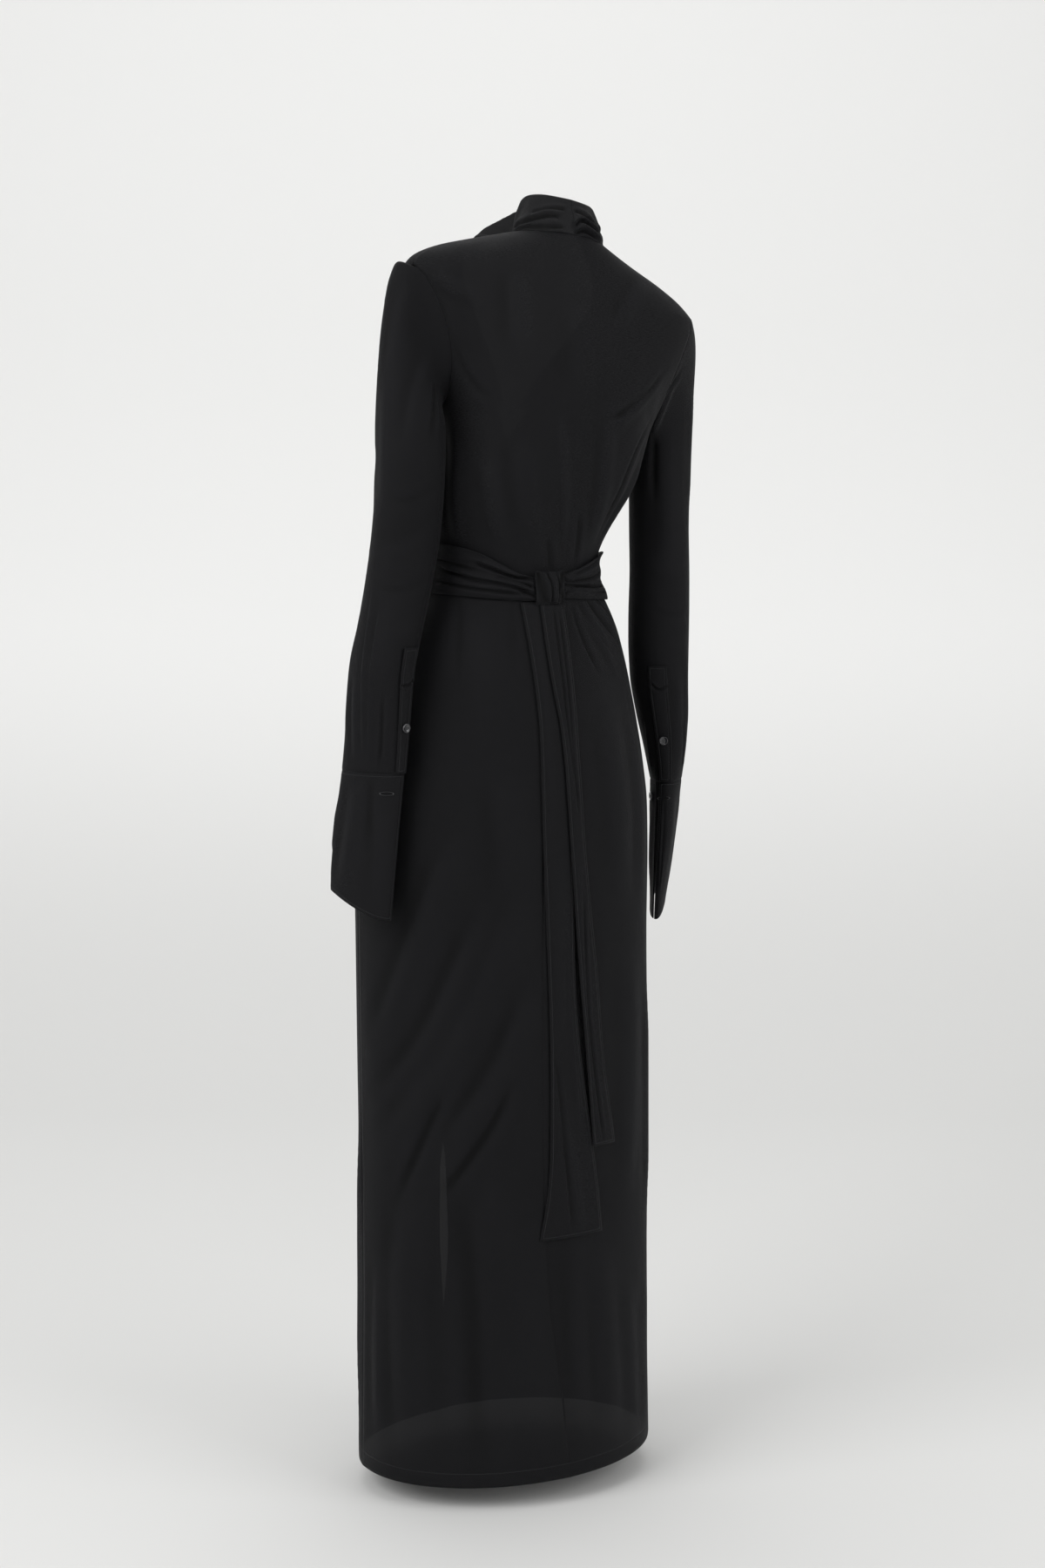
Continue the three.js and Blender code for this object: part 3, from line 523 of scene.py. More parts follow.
@dataclass
class ClothPiece:
    """One cut piece of cloth: a thin shell on the outer face of its solid, with its folds."""

    node: str
    wall: float
    middle: MiddleLine
    flat: tuple[float, float]
    area: float
    held: str
    rests_on: tuple[str, ...]
    folds: tuple[Fold, ...] = ()
    levels: int = 3
    thick: float = 0.0007
    edge: Edge = Edge.NONE
    finish: str = "jersey"
    longest: float = 0.038
    reach: float = 0.0006
    reach_down: float = 0.0006
    fade: float = 0.008
    sink: float = 0.0005
    sink_down: float = 0.0005

    def centre(self, z: float) -> tuple[float, float]:
        """Returns the middle line's x and y at a height."""
        return middle_at(self.middle, z)

    def outer_face(self) -> bmesh.types.BMesh:
        """Takes the outer face of the node's wall, as four-sided faces."""
        bm = bmesh.new()
        bm.from_mesh(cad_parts[self.node].data)
        bmesh.ops.remove_doubles(bm, verts=bm.verts, dist=1e-5)
        rim = [f for f in bm.faces if any(abs(e.calc_length() - self.wall) < 2.5e-5 for e in f.edges)]
        bmesh.ops.delete(bm, geom=rim, context="FACES")
        left, sides = set(bm.verts), []
        while left:
            grow = [left.pop()]
            side = list(grow)
            while grow:
                for e in grow.pop().link_edges:
                    for v in e.verts:
                        if v in left:
                            left.discard(v)
                            grow.append(v)
                            side.append(v)
            sides.append(side)
        sides.sort(key=len, reverse=True)

        def reach(side: list[bmesh.types.BMVert]) -> float:
            """Mean distance of a side from the middle line."""
            spots = [(v.co, self.centre(v.co.z)) for v in side]
            return sum(math.hypot(co.x - c[0], co.y - c[1]) for co, c in spots) / len(spots)

        keep = set(max(sides[:2], key=reach))
        bmesh.ops.delete(bm, geom=[v for v in bm.verts if v not in keep], context="VERTS")
        flat = math.pi
        bmesh.ops.join_triangles(bm, faces=bm.faces, angle_face_threshold=flat, angle_shape_threshold=flat)
        for limit, cuts in ((2.1 * self.longest, 3), (self.longest, 1)):
            long_ones = [e for e in bm.edges if e.calc_length() > limit]
            if long_ones:
                bmesh.ops.subdivide_edges(bm, edges=long_ones, cuts=cuts, use_grid_fill=True)
        return bm

    def smooth_sheet(self) -> bpy.types.Mesh:
        """Rounds the face with Subdivision Surface and returns its mesh."""
        obj = new_object(f"{self.node}_form", self.outer_face())
        rounder = obj.modifiers.new("round", "SUBSURF")
        rounder.levels = rounder.render_levels = self.levels
        rounder.boundary_smooth = "PRESERVE_CORNERS"
        mesh = evaluated(obj)
        old = obj.data
        bpy.data.objects.remove(obj)
        bpy.data.meshes.remove(old)
        return mesh

    def path_on(self, tree: BVHTree, run: Run) -> np.ndarray | None:
        """Lays a run of angles and heights on the cloth.

        Args:
            tree: The cloth's faces.
            run: Angle in degrees and height of each place.

        Returns:
            Close places along the run, or None where it misses the cloth.
        """
        spots = []
        for angle, z in run:
            x, y = self.centre(z)
            way = way_out(angle)
            hit = tree.ray_cast(Vector((x, y, z)) + way * 0.5, -way, 0.5)[0]
            if hit is None:
                hit = tree.find_nearest(Vector((x, y, z)) + way * 0.12)[0]
            spots.append(hit)
        if len(spots) < 2:
            return None
        ends = [spots[0] * 2 - spots[1], *spots, spots[-1] * 2 - spots[-2]]
        path = []
        for a, b, c, d in zip(ends, ends[1:], ends[2:], ends[3:]):
            for t in np.linspace(0, 1, 14, endpoint=False):
                path.append(0.5 * (2 * b + (c - a) * t + (2 * a - 5 * b + 4 * c - d) * t * t
                                   + (3 * b - a - 3 * c + d) * t ** 3))
        path.append(spots[-1])
        return np.array([tuple(p) for p in path])

    def lay_folds(self, mesh: bpy.types.Mesh) -> None:
        """Moves the cloth out and in along each of its folds."""
        points = corner_points(mesh)
        normals = np.array([tuple(n.vector) for n in mesh.vertex_normals])
        tree = BVHTree.FromPolygons([tuple(p) for p in points], [tuple(f.vertices) for f in mesh.polygons])
        out = np.zeros(len(points))
        for fold in self.folds:
            path = self.path_on(tree, fold.run)
            if path is not None:
                out += fold.lift(points, normals, path)
        out *= self.rim_hold(mesh, points)
        out = np.clip(out, -MOST_LIFT, MOST_LIFT)
        # The offsets are also kept as the fold attribute, which the jersey material uses to paint shade
        # into the fold valleys.
        mesh.attributes.new("fold", "FLOAT", "POINT").data.foreach_set("value", out)
        mesh.vertices.foreach_set("co", (points + normals * out[:, None]).ravel())
        mesh.update()

    def close_seams(self, mesh: bpy.types.Mesh) -> None:
        """Carries each edge a little past its seam and sinks it, so that sewn pieces meet in a groove."""
        bm = bmesh.new()
        bm.from_mesh(mesh)
        bm.normal_update()
        moves = {}
        for v in bm.verts:
            if not v.is_boundary:
                continue
            inner = sum((f.calc_center_median() for f in v.link_faces), Vector()) / len(v.link_faces)
            out = v.co - inner
            out = (out - v.normal * out.dot(v.normal)).normalized()
            faces_down = out.z < -0.6
            length = self.reach_down if faces_down else self.reach
            moves[v] = v.co + out * length - v.normal * (self.sink_down if faces_down else self.sink)
        for v, spot in moves.items():
            v.co = spot
        bm.to_mesh(mesh)
        bm.free()
        mesh.update()

    def open_edges(self, mesh: bpy.types.Mesh) -> np.ndarray:
        """Returns the vertex pairs of the mesh's open edges."""
        ends = np.empty(len(mesh.loops), dtype=int)
        mesh.loops.foreach_get("edge_index", ends)
        uses = np.bincount(ends, minlength=len(mesh.edges))
        pairs = np.empty(len(mesh.edges) * 2, dtype=int)
        mesh.edges.foreach_get("vertices", pairs)
        return pairs.reshape(-1, 2)[uses == 1]

    def rim_hold(self, mesh: bpy.types.Mesh, points: np.ndarray) -> np.ndarray:
        """Lets folds fade out over the last millimetres before a sewn edge, so that seams stay shut."""
        away = distances(points, np.unique(self.open_edges(mesh)))
        return 0.15 + 0.85 * np.clip(away / self.fade, 0, 1)

    def map_cloth(self, mesh: bpy.types.Mesh) -> None:
        """Writes two maps in metres: round and up the cloth, and along and in from its stitched edge."""
        points = corner_points(mesh)
        centres = np.array([self.centre(z) for z in points[:, 2]])
        turn = np.arctan2(points[:, 0] - centres[:, 0], points[:, 1] - centres[:, 1])
        radius = float(np.hypot(points[:, 0] - centres[:, 0], points[:, 1] - centres[:, 1]).mean())
        corners = np.empty(len(mesh.loops), dtype=int)
        mesh.loops.foreach_get("vertex_index", corners)
        starts = np.empty(len(mesh.polygons), dtype=int)
        mesh.polygons.foreach_get("loop_start", starts)
        first = np.repeat(turn[corners[starts]], np.diff(np.append(starts, len(corners))))
        around = turn[corners]
        around = around - 2 * math.pi * np.round((around - first) / (2 * math.pi))
        up = points[corners, 2]
        cloth_map = mesh.uv_layers.new(name="cloth").data
        cloth_map.foreach_set("uv", np.column_stack((around * radius, up)).ravel())
        rim = self.open_edges(mesh)
        middle_points = points[rim].mean(axis=1)
        if len(rim):
            edge_way = np.abs(points[rim[:, 0]] - points[rim[:, 1]])
            top, low = points[:, 2].max(), points[:, 2].min()
            level = edge_way[:, 2] < 0.6 * np.hypot(edge_way[:, 0], edge_way[:, 1])
            if self.edge is Edge.LOWER:
                rim = rim[level & (middle_points[:, 2] < (top + low) / 2)]
            elif self.edge is Edge.ALL_BUT_TOP:
                rim = rim[~(level & (middle_points[:, 2] > (top + low) / 2))]
            elif self.edge is Edge.NONE:
                rim = rim[:0]
        inset = distances(points, np.unique(rim))
        edge_map = mesh.uv_layers.new(name="edge").data
        edge_map.foreach_set("uv", np.column_stack((around * radius + up, inset[corners])).ravel())

    def build(self, finishes: dict[str, bpy.types.Material]) -> bpy.types.Object:
        """Makes the piece, dresses it and names the solid that it stands for."""
        mesh = self.smooth_sheet()
        self.lay_folds(mesh)
        self.close_seams(mesh)
        self.map_cloth(mesh)
        mesh.name = f"cloth_{self.node}"
        obj = bpy.data.objects.new(mesh.name, mesh)
        bpy.context.collection.objects.link(obj)
        shade_smooth(mesh)
        mesh.materials.clear()
        mesh.materials.append(finishes[self.finish])
        shell = obj.modifiers.new("cloth_thickness", "SOLIDIFY")
        shell.thickness, shell.offset, shell.use_even_offset = self.thick, -1.0, False
        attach(obj, "root")
        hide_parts(self.node)
        area = sum(p.area for p in mesh.polygons)
        log.info("%s: %d faces, %.4f m2 of cloth, cut %s of %.4f m2",
                 obj.name, len(mesh.polygons), area, self.flat, self.area)
        return obj


TORSO = ((-1.5, -0.02, 0.03), (0.2, -0.02, 0.03))
NECK = ((-1.0, -0.048, 0.055), (1.0, -0.048, 0.055))
LEFT_ARM = ((-0.78, 0.209, 0.059), (-0.587, 0.192, 0.062), (-0.45, 0.177, 0.061), (-0.31, 0.145, 0.050),
            (-0.17, 0.141, 0.062), (0.0, 0.13, 0.055))
RIGHT_ARM = ((-0.80, -0.217, -0.020), (-0.605, -0.227, -0.014), (-0.486, -0.211, -0.002),
             (-0.35, -0.207, 0.006), (-0.2, -0.208, 0.002), (-0.05, -0.20, 0.03))
TUCK, GATHER, PLEAT = Shape.TUCK, Shape.GATHER, Shape.PLEAT


def bodice() -> list[ClothPiece]:
    """The back and the two wrapped fronts, with the pulls that run from armhole and waist."""
    return [
        ClothPiece("bodice_back", 0.0018, TORSO, (0.44, 0.46), 0.148, "hung",
                   ("collar_left", "collar_right"), (
            Fold(((29, 0.013), (27, -0.035), (25, -0.085)), 11, 2.2),
            Fold(((3, -0.15), (0, -0.2), (-4, -0.26), (-9, -0.31)), 6, 2.2, PLEAT),
            Fold(((-32, -0.15), (-34, -0.21), (-38, -0.27), (-46, -0.32)), 9, 2.4),
            Fold(((-64, -0.1), (-55, -0.128), (-42, -0.152), (-28, -0.163)), 6, 1.7, TUCK),
            Fold(((-58, -0.125), (-47, -0.152), (-34, -0.178)), 7, 1.8),
            Fold(((-66, -0.16), (-55, -0.2), (-50, -0.25), (-50, -0.3)), 6, 2.5, TUCK),
            Fold(((-72, -0.205), (-66, -0.25), (-64, -0.31)), 7, 2.7),
            Fold(((-80, -0.235), (-76, -0.28), (-74, -0.33)), 5, 2.2, TUCK),
            Fold(((76, -0.15), (70, -0.21), (70, -0.27), (74, -0.32)), 9, 2.7),
            Fold(((64, -0.07), (62, -0.1), (54, -0.125), (42, -0.14)), 7, 0.8, TUCK),
            Fold(((26, -0.18), (23, -0.24), (18, -0.3)), 12, 2),
            Fold(((48, -0.2), (44, -0.26), (38, -0.315)), 10, 1.8),
            Fold(((-62, 0.0), (-48, -0.026), (-34, -0.062)), 9, 1.8),
            Fold(((70, 0.008), (62, -0.009), (48, -0.025)), 8, 1.7),
            Fold(((-14, -0.02), (-16, -0.08), (-13, -0.14)), 16, 1.5),
            Fold(((-20, -0.27), (-24, -0.3), (-26, -0.335)), 6, 1.8, TUCK),
            Fold(((6, -0.3), (3, -0.32), (1, -0.345)), 6, 1.5, TUCK),
        ), longest=0.031, reach=0.003, fade=0.005, finish="jersey_body"),
        ClothPiece("bodice_front_over", 0.0018, TORSO, (0.40, 0.45), 0.078, "hung",
                   ("collar_right", "sleeve_right"), (
            Fold(((-98, -0.1), (-120, -0.16), (-150, -0.24), (-180, -0.3)), 9, 2.8),
            Fold(((-94, -0.16), (-112, -0.21), (-140, -0.27), (-170, -0.325)), 7, 2.7, TUCK),
            Fold(((-96, -0.21), (-120, -0.25), (-150, -0.3), (-180, -0.34)), 8, 2.7),
            Fold(((-150, -0.08), (-165, -0.15), (-188, -0.22)), 12, 2.5),
            Fold(((-98, -0.27), (-122, -0.3), (-150, -0.335)), 6, 2.4, TUCK),
            Fold(((-104, -0.03), (-112, -0.07), (-126, -0.11)), 8, 2, TUCK),
            Fold(((-190, -0.25), (-205, -0.29), (-222, -0.32)), 8, 2.2),
            Fold(((-112, -0.1), (-114, -0.17), (-108, -0.24)), 14, 1.8),
            Fold(((-196, -0.31), (-214, -0.335), (-232, -0.35)), 6, 1.8, TUCK),
        ), levels=2, finish="jersey_body"),
        ClothPiece("bodice_front_under", 0.0018, TORSO, (0.38, 0.45), 0.077, "hung",
                   ("collar_left", "sleeve_left"), (
            Fold(((98, -0.09), (118, -0.15), (146, -0.22), (170, -0.28)), 9, 2.2),
            Fold(((96, -0.16), (116, -0.21), (140, -0.27), (160, -0.32)), 7, 2.1, TUCK),
            Fold(((98, -0.22), (120, -0.26), (146, -0.31)), 8, 2.1),
            Fold(((104, -0.04), (114, -0.08), (128, -0.12)), 8, 1.8, TUCK),
            Fold(((96, -0.28), (112, -0.31), (134, -0.335)), 6, 1.8, TUCK),
            Fold(((84, 0.012), (92, -0.006), (104, -0.02)), 8, 1.7),
        ), levels=2, reach=0.002, finish="jersey_body"),
    ]


def skirt() -> list[ClothPiece]:
    """Two back panels with soft drags towards the wearer's left, and two wrapped fronts."""
    return [
        ClothPiece("skirt_back_left", 0.0018, TORSO, (0.33, 1.11), 0.277, "hung", ("bodice_back",), (
            Fold(((24, -0.72), (38, -0.81), (54, -0.9), (72, -0.98), (86, -1.05)), 15, 4),
            Fold(((42, -0.74), (54, -0.82), (66, -0.9), (88, -1.0)), 13, 4),
            Fold(((17, -0.84), (30, -0.91), (44, -0.97), (62, -1.04)), 13, 3.6),
            Fold(((56, -0.66), (66, -0.74), (76, -0.83), (88, -0.92)), 13, 3.6),
            Fold(((28, -0.93), (42, -1.0), (54, -1.05), (64, -1.09)), 10, 2.7, TUCK),
            Fold(((60, -0.95), (70, -1.02), (80, -1.1)), 9, 2.7, TUCK),
            Fold(((84, -0.4), (78, -0.47), (74, -0.56)), 13, 1.0),
            Fold(((56, -0.38), (49, -0.45), (46, -0.54)), 14, 0.8),
            Fold(((70, -0.37), (64, -0.41), (60, -0.47)), 7, 0.8, TUCK),
            Fold(((36, -0.37), (33, -0.41), (32, -0.46)), 7, 0.7, TUCK),
            Fold(((72, -1.08), (77, -1.2), (76, -1.32), (74, -1.43)), 18, 3.9),
            Fold(((44, -1.06), (39, -1.18), (36, -1.3), (34, -1.43)), 20, 3.6),
            Fold(((60, -1.14), (58, -1.26), (57, -1.42)), 14, 1.0),
            Fold(((20, -1.1), (18, -1.24), (14, -1.42)), 15, 2.4),
            Fold(((86, -1.15), (88, -1.28), (87, -1.42)), 12, 2.5),
            Fold(((35, -0.57), (31, -0.66), (28, -0.73)), 16, 1.8),
        ), reach=0.0014, edge=Edge.LOWER, finish="jersey_hem"),
        ClothPiece("skirt_back_right", 0.0018, TORSO, (0.33, 1.11), 0.276, "hung", ("bodice_back",), (
            Fold(((-26, -0.372), (-34, -0.393), (-44, -0.416), (-57, -0.445)), 4.5, 2.2, TUCK),
            Fold(((-38, -0.372), (-46, -0.388), (-56, -0.407), (-70, -0.433)), 4.5, 2.1, TUCK),
            Fold(((-19, -0.376), (-24, -0.41), (-31, -0.44), (-40, -0.468)), 5, 2.2, TUCK),
            Fold(((-54, -0.374), (-64, -0.387), (-74, -0.405)), 4, 1.8, TUCK),
            Fold(((-32, -0.374), (-39, -0.4), (-49, -0.43), (-60, -0.47)), 6, 2),
            Fold(((-47, -0.372), (-56, -0.393), (-68, -0.42)), 5, 1.8),
            Fold(((-42, -0.49), (-47, -0.6), (-52, -0.75)), 17, 2.4),
            Fold(((-66, -0.5), (-70, -0.62), (-72, -0.76)), 13, 2.2),
            Fold(((-58, -0.78), (-61, -0.95), (-56, -1.14)), 18, 2.7),
            Fold(((-78, -0.84), (-80, -1.0), (-80, -1.16)), 12, 2.7),
            Fold(((-32, -1.15), (-38, -1.28), (-41, -1.43)), 18, 3.3),
            Fold(((-56, -1.2), (-60, -1.32), (-62, -1.43)), 13, 1.2),
            Fold(((-14, -1.13), (-16, -1.27), (-18, -1.43)), 13, 2.2),
            Fold(((-78, -1.22), (-76, -1.33), (-77, -1.43)), 14, 1.2),
        ), longest=0.036, reach=0.0014, fade=0.005, edge=Edge.LOWER, finish="jersey_hem"),
        ClothPiece("skirt_front_over", 0.0018, TORSO, (0.56, 1.12), 0.36, "hung",
                   ("bodice_front_over",), (
            Fold(((-128, -0.39), (-150, -0.5), (-178, -0.66), (-192, -0.8)), 14, 3.9),
            Fold(((-110, -0.4), (-122, -0.56), (-140, -0.74), (-158, -0.92)), 16, 3.6),
            Fold(((-160, -0.38), (-184, -0.47), (-205, -0.58)), 11, 3.4),
            Fold(((-190, -0.37), (-212, -0.42), (-230, -0.48)), 8, 2.7, TUCK),
            Fold(((-145, -0.38), (-165, -0.45), (-188, -0.54)), 7, 2.7, TUCK),
            Fold(((-120, -0.95), (-126, -1.15), (-124, -1.42)), 18, 3.9),
            Fold(((-150, -1.0), (-158, -1.2), (-160, -1.42)), 16, 3.8),
            Fold(((-174, -0.9), (-178, -1.1), (-180, -1.4)), 12, 3, TUCK),
            Fold(((-102, -1.0), (-104, -1.2), (-103, -1.42)), 15, 3.3),
            Fold(((-98, -0.4), (-100, -0.5), (-100, -0.64)), 12, 2.4),
        ), levels=2, edge=Edge.LOWER, finish="jersey_hem"),
        ClothPiece("skirt_front_under", 0.0018, TORSO, (0.52, 1.12), 0.31, "hung",
                   ("bodice_front_under",), (
            Fold(((112, -0.4), (124, -0.54), (140, -0.7), (152, -0.86)), 14, 3.3),
            Fold(((98, -0.42), (104, -0.58), (110, -0.76)), 13, 2.7),
            Fold(((134, -0.39), (156, -0.48), (180, -0.58)), 8, 2.4, TUCK),
            Fold(((100, -1.0), (106, -1.2), (104, -1.42)), 16, 3.4),
            Fold(((126, -0.98), (132, -1.18), (130, -1.42)), 17, 3.4),
            Fold(((150, -1.05), (153, -1.22), (152, -1.42)), 12, 2.7, TUCK),
        ), levels=2, edge=Edge.LOWER, finish="jersey_hem"),
    ]


def sleeves() -> list[ClothPiece]:
    """Both sleeves: pulls at the armhole, bends at the elbow and small pleats into the cuff."""
    return [
        ClothPiece("sleeve_left", 0.0018, LEFT_ARM, (0.34, 0.62), 0.136, "hung", ("bodice_back",), (
            Fold(((-34, -0.235), (-8, -0.247), (22, -0.256), (60, -0.25)), 6, 0.9, TUCK),
            Fold(((-34, -0.285), (0, -0.303), (36, -0.314), (74, -0.312)), 7, 0.9),
            Fold(((-42, -0.342), (-6, -0.356), (30, -0.36), (72, -0.35)), 6, 0.9, TUCK),
            Fold(((-30, -0.395), (0, -0.41), (34, -0.42)), 8, 0.9),
            Fold(((52, -0.33), (47, -0.4), (43, -0.47), (40, -0.54), (39, -0.568)), 3.6, 2.2, PLEAT),
            Fold(((74, -0.35), (69, -0.41), (64, -0.48), (62, -0.53), (60, -0.568)), 4, 2, PLEAT),
            Fold(((14, -0.475), (9, -0.51), (5, -0.54), (3, -0.568)), 3.6, 1.6, TUCK),
            Fold(((84, -0.46), (86, -0.51), (86, -0.566)), 5, 1.6),
            Fold(((62, -0.1), (57, -0.19), (50, -0.28)), 12, 2.3),
            Fold(((40, -0.0), (54, -0.05), (56, -0.12)), 9, 2),
            Fold(((-40, -0.09), (-10, -0.11), (12, -0.15), (20, -0.2)), 8, 2),
            Fold(((-50, -0.12), (-28, -0.15), (-12, -0.19)), 6, 1.8, TUCK),
            Fold(((18, -0.36), (26, -0.42), (30, -0.47)), 10, 1.9),
            Fold(((110, -0.2), (128, -0.25), (150, -0.27)), 8, 1.9, TUCK),
            Fold(((120, -0.3), (145, -0.33), (170, -0.34)), 8, 1.9),
            Fold(((130, -0.1), (126, -0.18), (122, -0.26)), 10, 1.8),
            Fold(((115, -0.4), (118, -0.47), (116, -0.55)), 8, 1.8),
        ), longest=0.031, reach=0.003, fade=0.004),
        ClothPiece("sleeve_right", 0.0018, RIGHT_ARM, (0.33, 0.60), 0.124, "hung", ("bodice_back",), (
            Fold(((0, -0.1), (18, -0.128), (34, -0.155)), 6, 2.2, TUCK),
            Fold(((14, -0.12), (28, -0.16), (42, -0.19)), 7, 2.2),
            Fold(((34, -0.175), (36, -0.215), (34, -0.26)), 6, 1.8, TUCK),
            Fold(((8, -0.15), (8, -0.26), (10, -0.35)), 11, 2),
            Fold(((60, -0.322), (30, -0.34), (-2, -0.344), (-30, -0.336)), 7, 0.9),
            Fold(((56, -0.378), (24, -0.396), (-8, -0.4), (-34, -0.39)), 6, 0.8, TUCK),
            Fold(((40, -0.28), (14, -0.292), (-16, -0.29)), 6, 0.8, TUCK),
            Fold(((-14, -0.46), (-12, -0.53), (-4, -0.598)), 7, 2),
            Fold(((-34, -0.43), (-40, -0.5), (-30, -0.57)), 8, 2),
            Fold(((-24, -0.53), (-26, -0.57), (-28, -0.604)), 3.6, 1.8, PLEAT),
            Fold(((60, -0.53), (62, -0.57), (64, -0.604)), 3.6, 1.6, PLEAT),
            Fold(((-60, -0.12), (-64, -0.2), (-60, -0.28)), 10, 1.9),
            Fold(((-100, -0.2), (-120, -0.25), (-140, -0.26)), 8, 1.9, TUCK),
            Fold(((-96, -0.3), (-120, -0.33), (-150, -0.33)), 8, 1.9),
            Fold(((-110, -0.42), (-104, -0.5), (-108, -0.59)), 8, 1.9),
        ), longest=0.036, reach=0.003, fade=0.004),
        ClothPiece("cuff_left", 0.0018, LEFT_ARM, (0.21, 0.175), 0.0325, "hung", ("sleeve_left",), (
            Fold(((80, -0.58), (84, -0.64), (80, -0.73)), 9, 1.6),
            Fold(((-18, -0.61), (-17, -0.66), (-18, -0.74)), 9, 1.2),
            Fold(((20, -0.578), (18, -0.61), (16, -0.66)), 8, 1.1, TUCK),
            Fold(((130, -0.6), (134, -0.66), (132, -0.72)), 9, 1.5),
            Fold(((-160, -0.6), (-158, -0.66), (-160, -0.71)), 8, 1.4),
        ), thick=0.0011, edge=Edge.ALL, finish="jersey_stitched"),
        ClothPiece("cuff_right", 0.0018, RIGHT_ARM, (0.21, 0.175), 0.0325, "hung", ("sleeve_right",), (
            Fold(((12, -0.615), (10, -0.67), (14, -0.75)), 8, 1.4),
            Fold(((-50, -0.62), (-54, -0.68), (-50, -0.75)), 9, 1.5),
            Fold(((60, -0.64), (66, -0.7), (62, -0.76)), 8, 1.2),
            Fold(((-120, -0.63), (-122, -0.69), (-118, -0.74)), 9, 1.4),
        ), thick=0.0011, edge=Edge.ALL, finish="jersey_stitched"),
        ClothPiece("placket_left", 0.0014, LEFT_ARM, (0.022, 0.148), 0.0031, "stretched",
                   ("sleeve_left",), (
            Fold(((-6, -0.47), (-28, -0.47), (-52, -0.47)), 2.4, 2.2, GATHER),
        ), longest=0.012, fade=0.001, thick=0.0008, edge=Edge.ALL, finish="jersey_stitched"),
        ClothPiece("placket_right", 0.0014, RIGHT_ARM, (0.022, 0.148), 0.0031, "stretched",
                   ("sleeve_right",), (
            Fold(((52, -0.4925), (26, -0.4925), (2, -0.4925)), 2.4, 2.2, GATHER),
        ), longest=0.012, fade=0.001, thick=0.0008, edge=Edge.ALL, finish="jersey_stitched"),
    ]


def collar() -> list[ClothPiece]:
    """The two halves of the soft standing collar, ruched to both sides of its centre-back seam."""
    return [
        ClothPiece("collar_left", 0.0022, NECK, (0.42, 0.045), 0.0108, "gathered", ("bodice_back",), (
            Fold(((100, 0.062), (63, 0.068), (37, 0.073), (20, 0.072)), 3.8, 3.4, GATHER),
            Fold(((128, 0.055), (73, 0.06), (40, 0.06), (12, 0.06)), 3.6, 3.0, GATHER),
            Fold(((62, 0.078), (36, 0.082), (10, 0.081)), 3.2, 2.8, GATHER),
            Fold(((76, 0.072), (51, 0.078), (26, 0.078)), 4, 2.4),
            Fold(((70, 0.064), (40, 0.066), (14, 0.066)), 4.4, 2.6),
            Fold(((50, 0.052), (28, 0.053), (6, 0.053)), 4, 2.2),
            Fold(((84, 0.05), (56, 0.053), (30, 0.056)), 3.4, 2.4, GATHER),
            Fold(((110, 0.044), (140, 0.02), (150, -0.01)), 4.2, 2.4, GATHER),
            Fold(((118, 0.054), (144, 0.03), (154, 0.0)), 4.2, 2.2),
            Fold(((146, 0.005), (156, -0.04), (162, -0.08)), 4.2, 2.0, GATHER),
        ), thick=0.0012, longest=0.013, reach_down=0.0022, fade=0.003),
        ClothPiece("collar_right", 0.0022, NECK, (0.42, 0.045), 0.0108, "gathered", ("bodice_back",), (
            Fold(((0, 0.071), (-13, 0.068), (-34, 0.06), (-60, 0.048)), 3.8, 3.4, GATHER),
            Fold(((0, 0.06), (-16, 0.056), (-40, 0.047), (-66, 0.036)), 3.6, 3.2, GATHER),
            Fold(((-3, 0.08), (-16, 0.077), (-34, 0.069), (-52, 0.06)), 3.2, 2.8, GATHER),
            Fold(((-2, 0.065), (-22, 0.061), (-48, 0.052)), 4.2, 2.4),
            Fold(((-4, 0.052), (-24, 0.048), (-46, 0.04)), 4, 2.2),
            Fold(((-60, 0.062), (-86, 0.05), (-112, 0.036)), 3.8, 2.8, GATHER),
            Fold(((-70, 0.05), (-98, 0.038), (-128, 0.02)), 4.4, 2.2),
            Fold(((-118, 0.04), (-142, 0.02), (-152, -0.012)), 4.2, 2.4, GATHER),
            Fold(((-146, 0.004), (-156, -0.04), (-162, -0.08)), 4.2, 2.0, GATHER),
        ), thick=0.0012, longest=0.013, reach_down=0.0022, fade=0.003),
    ]


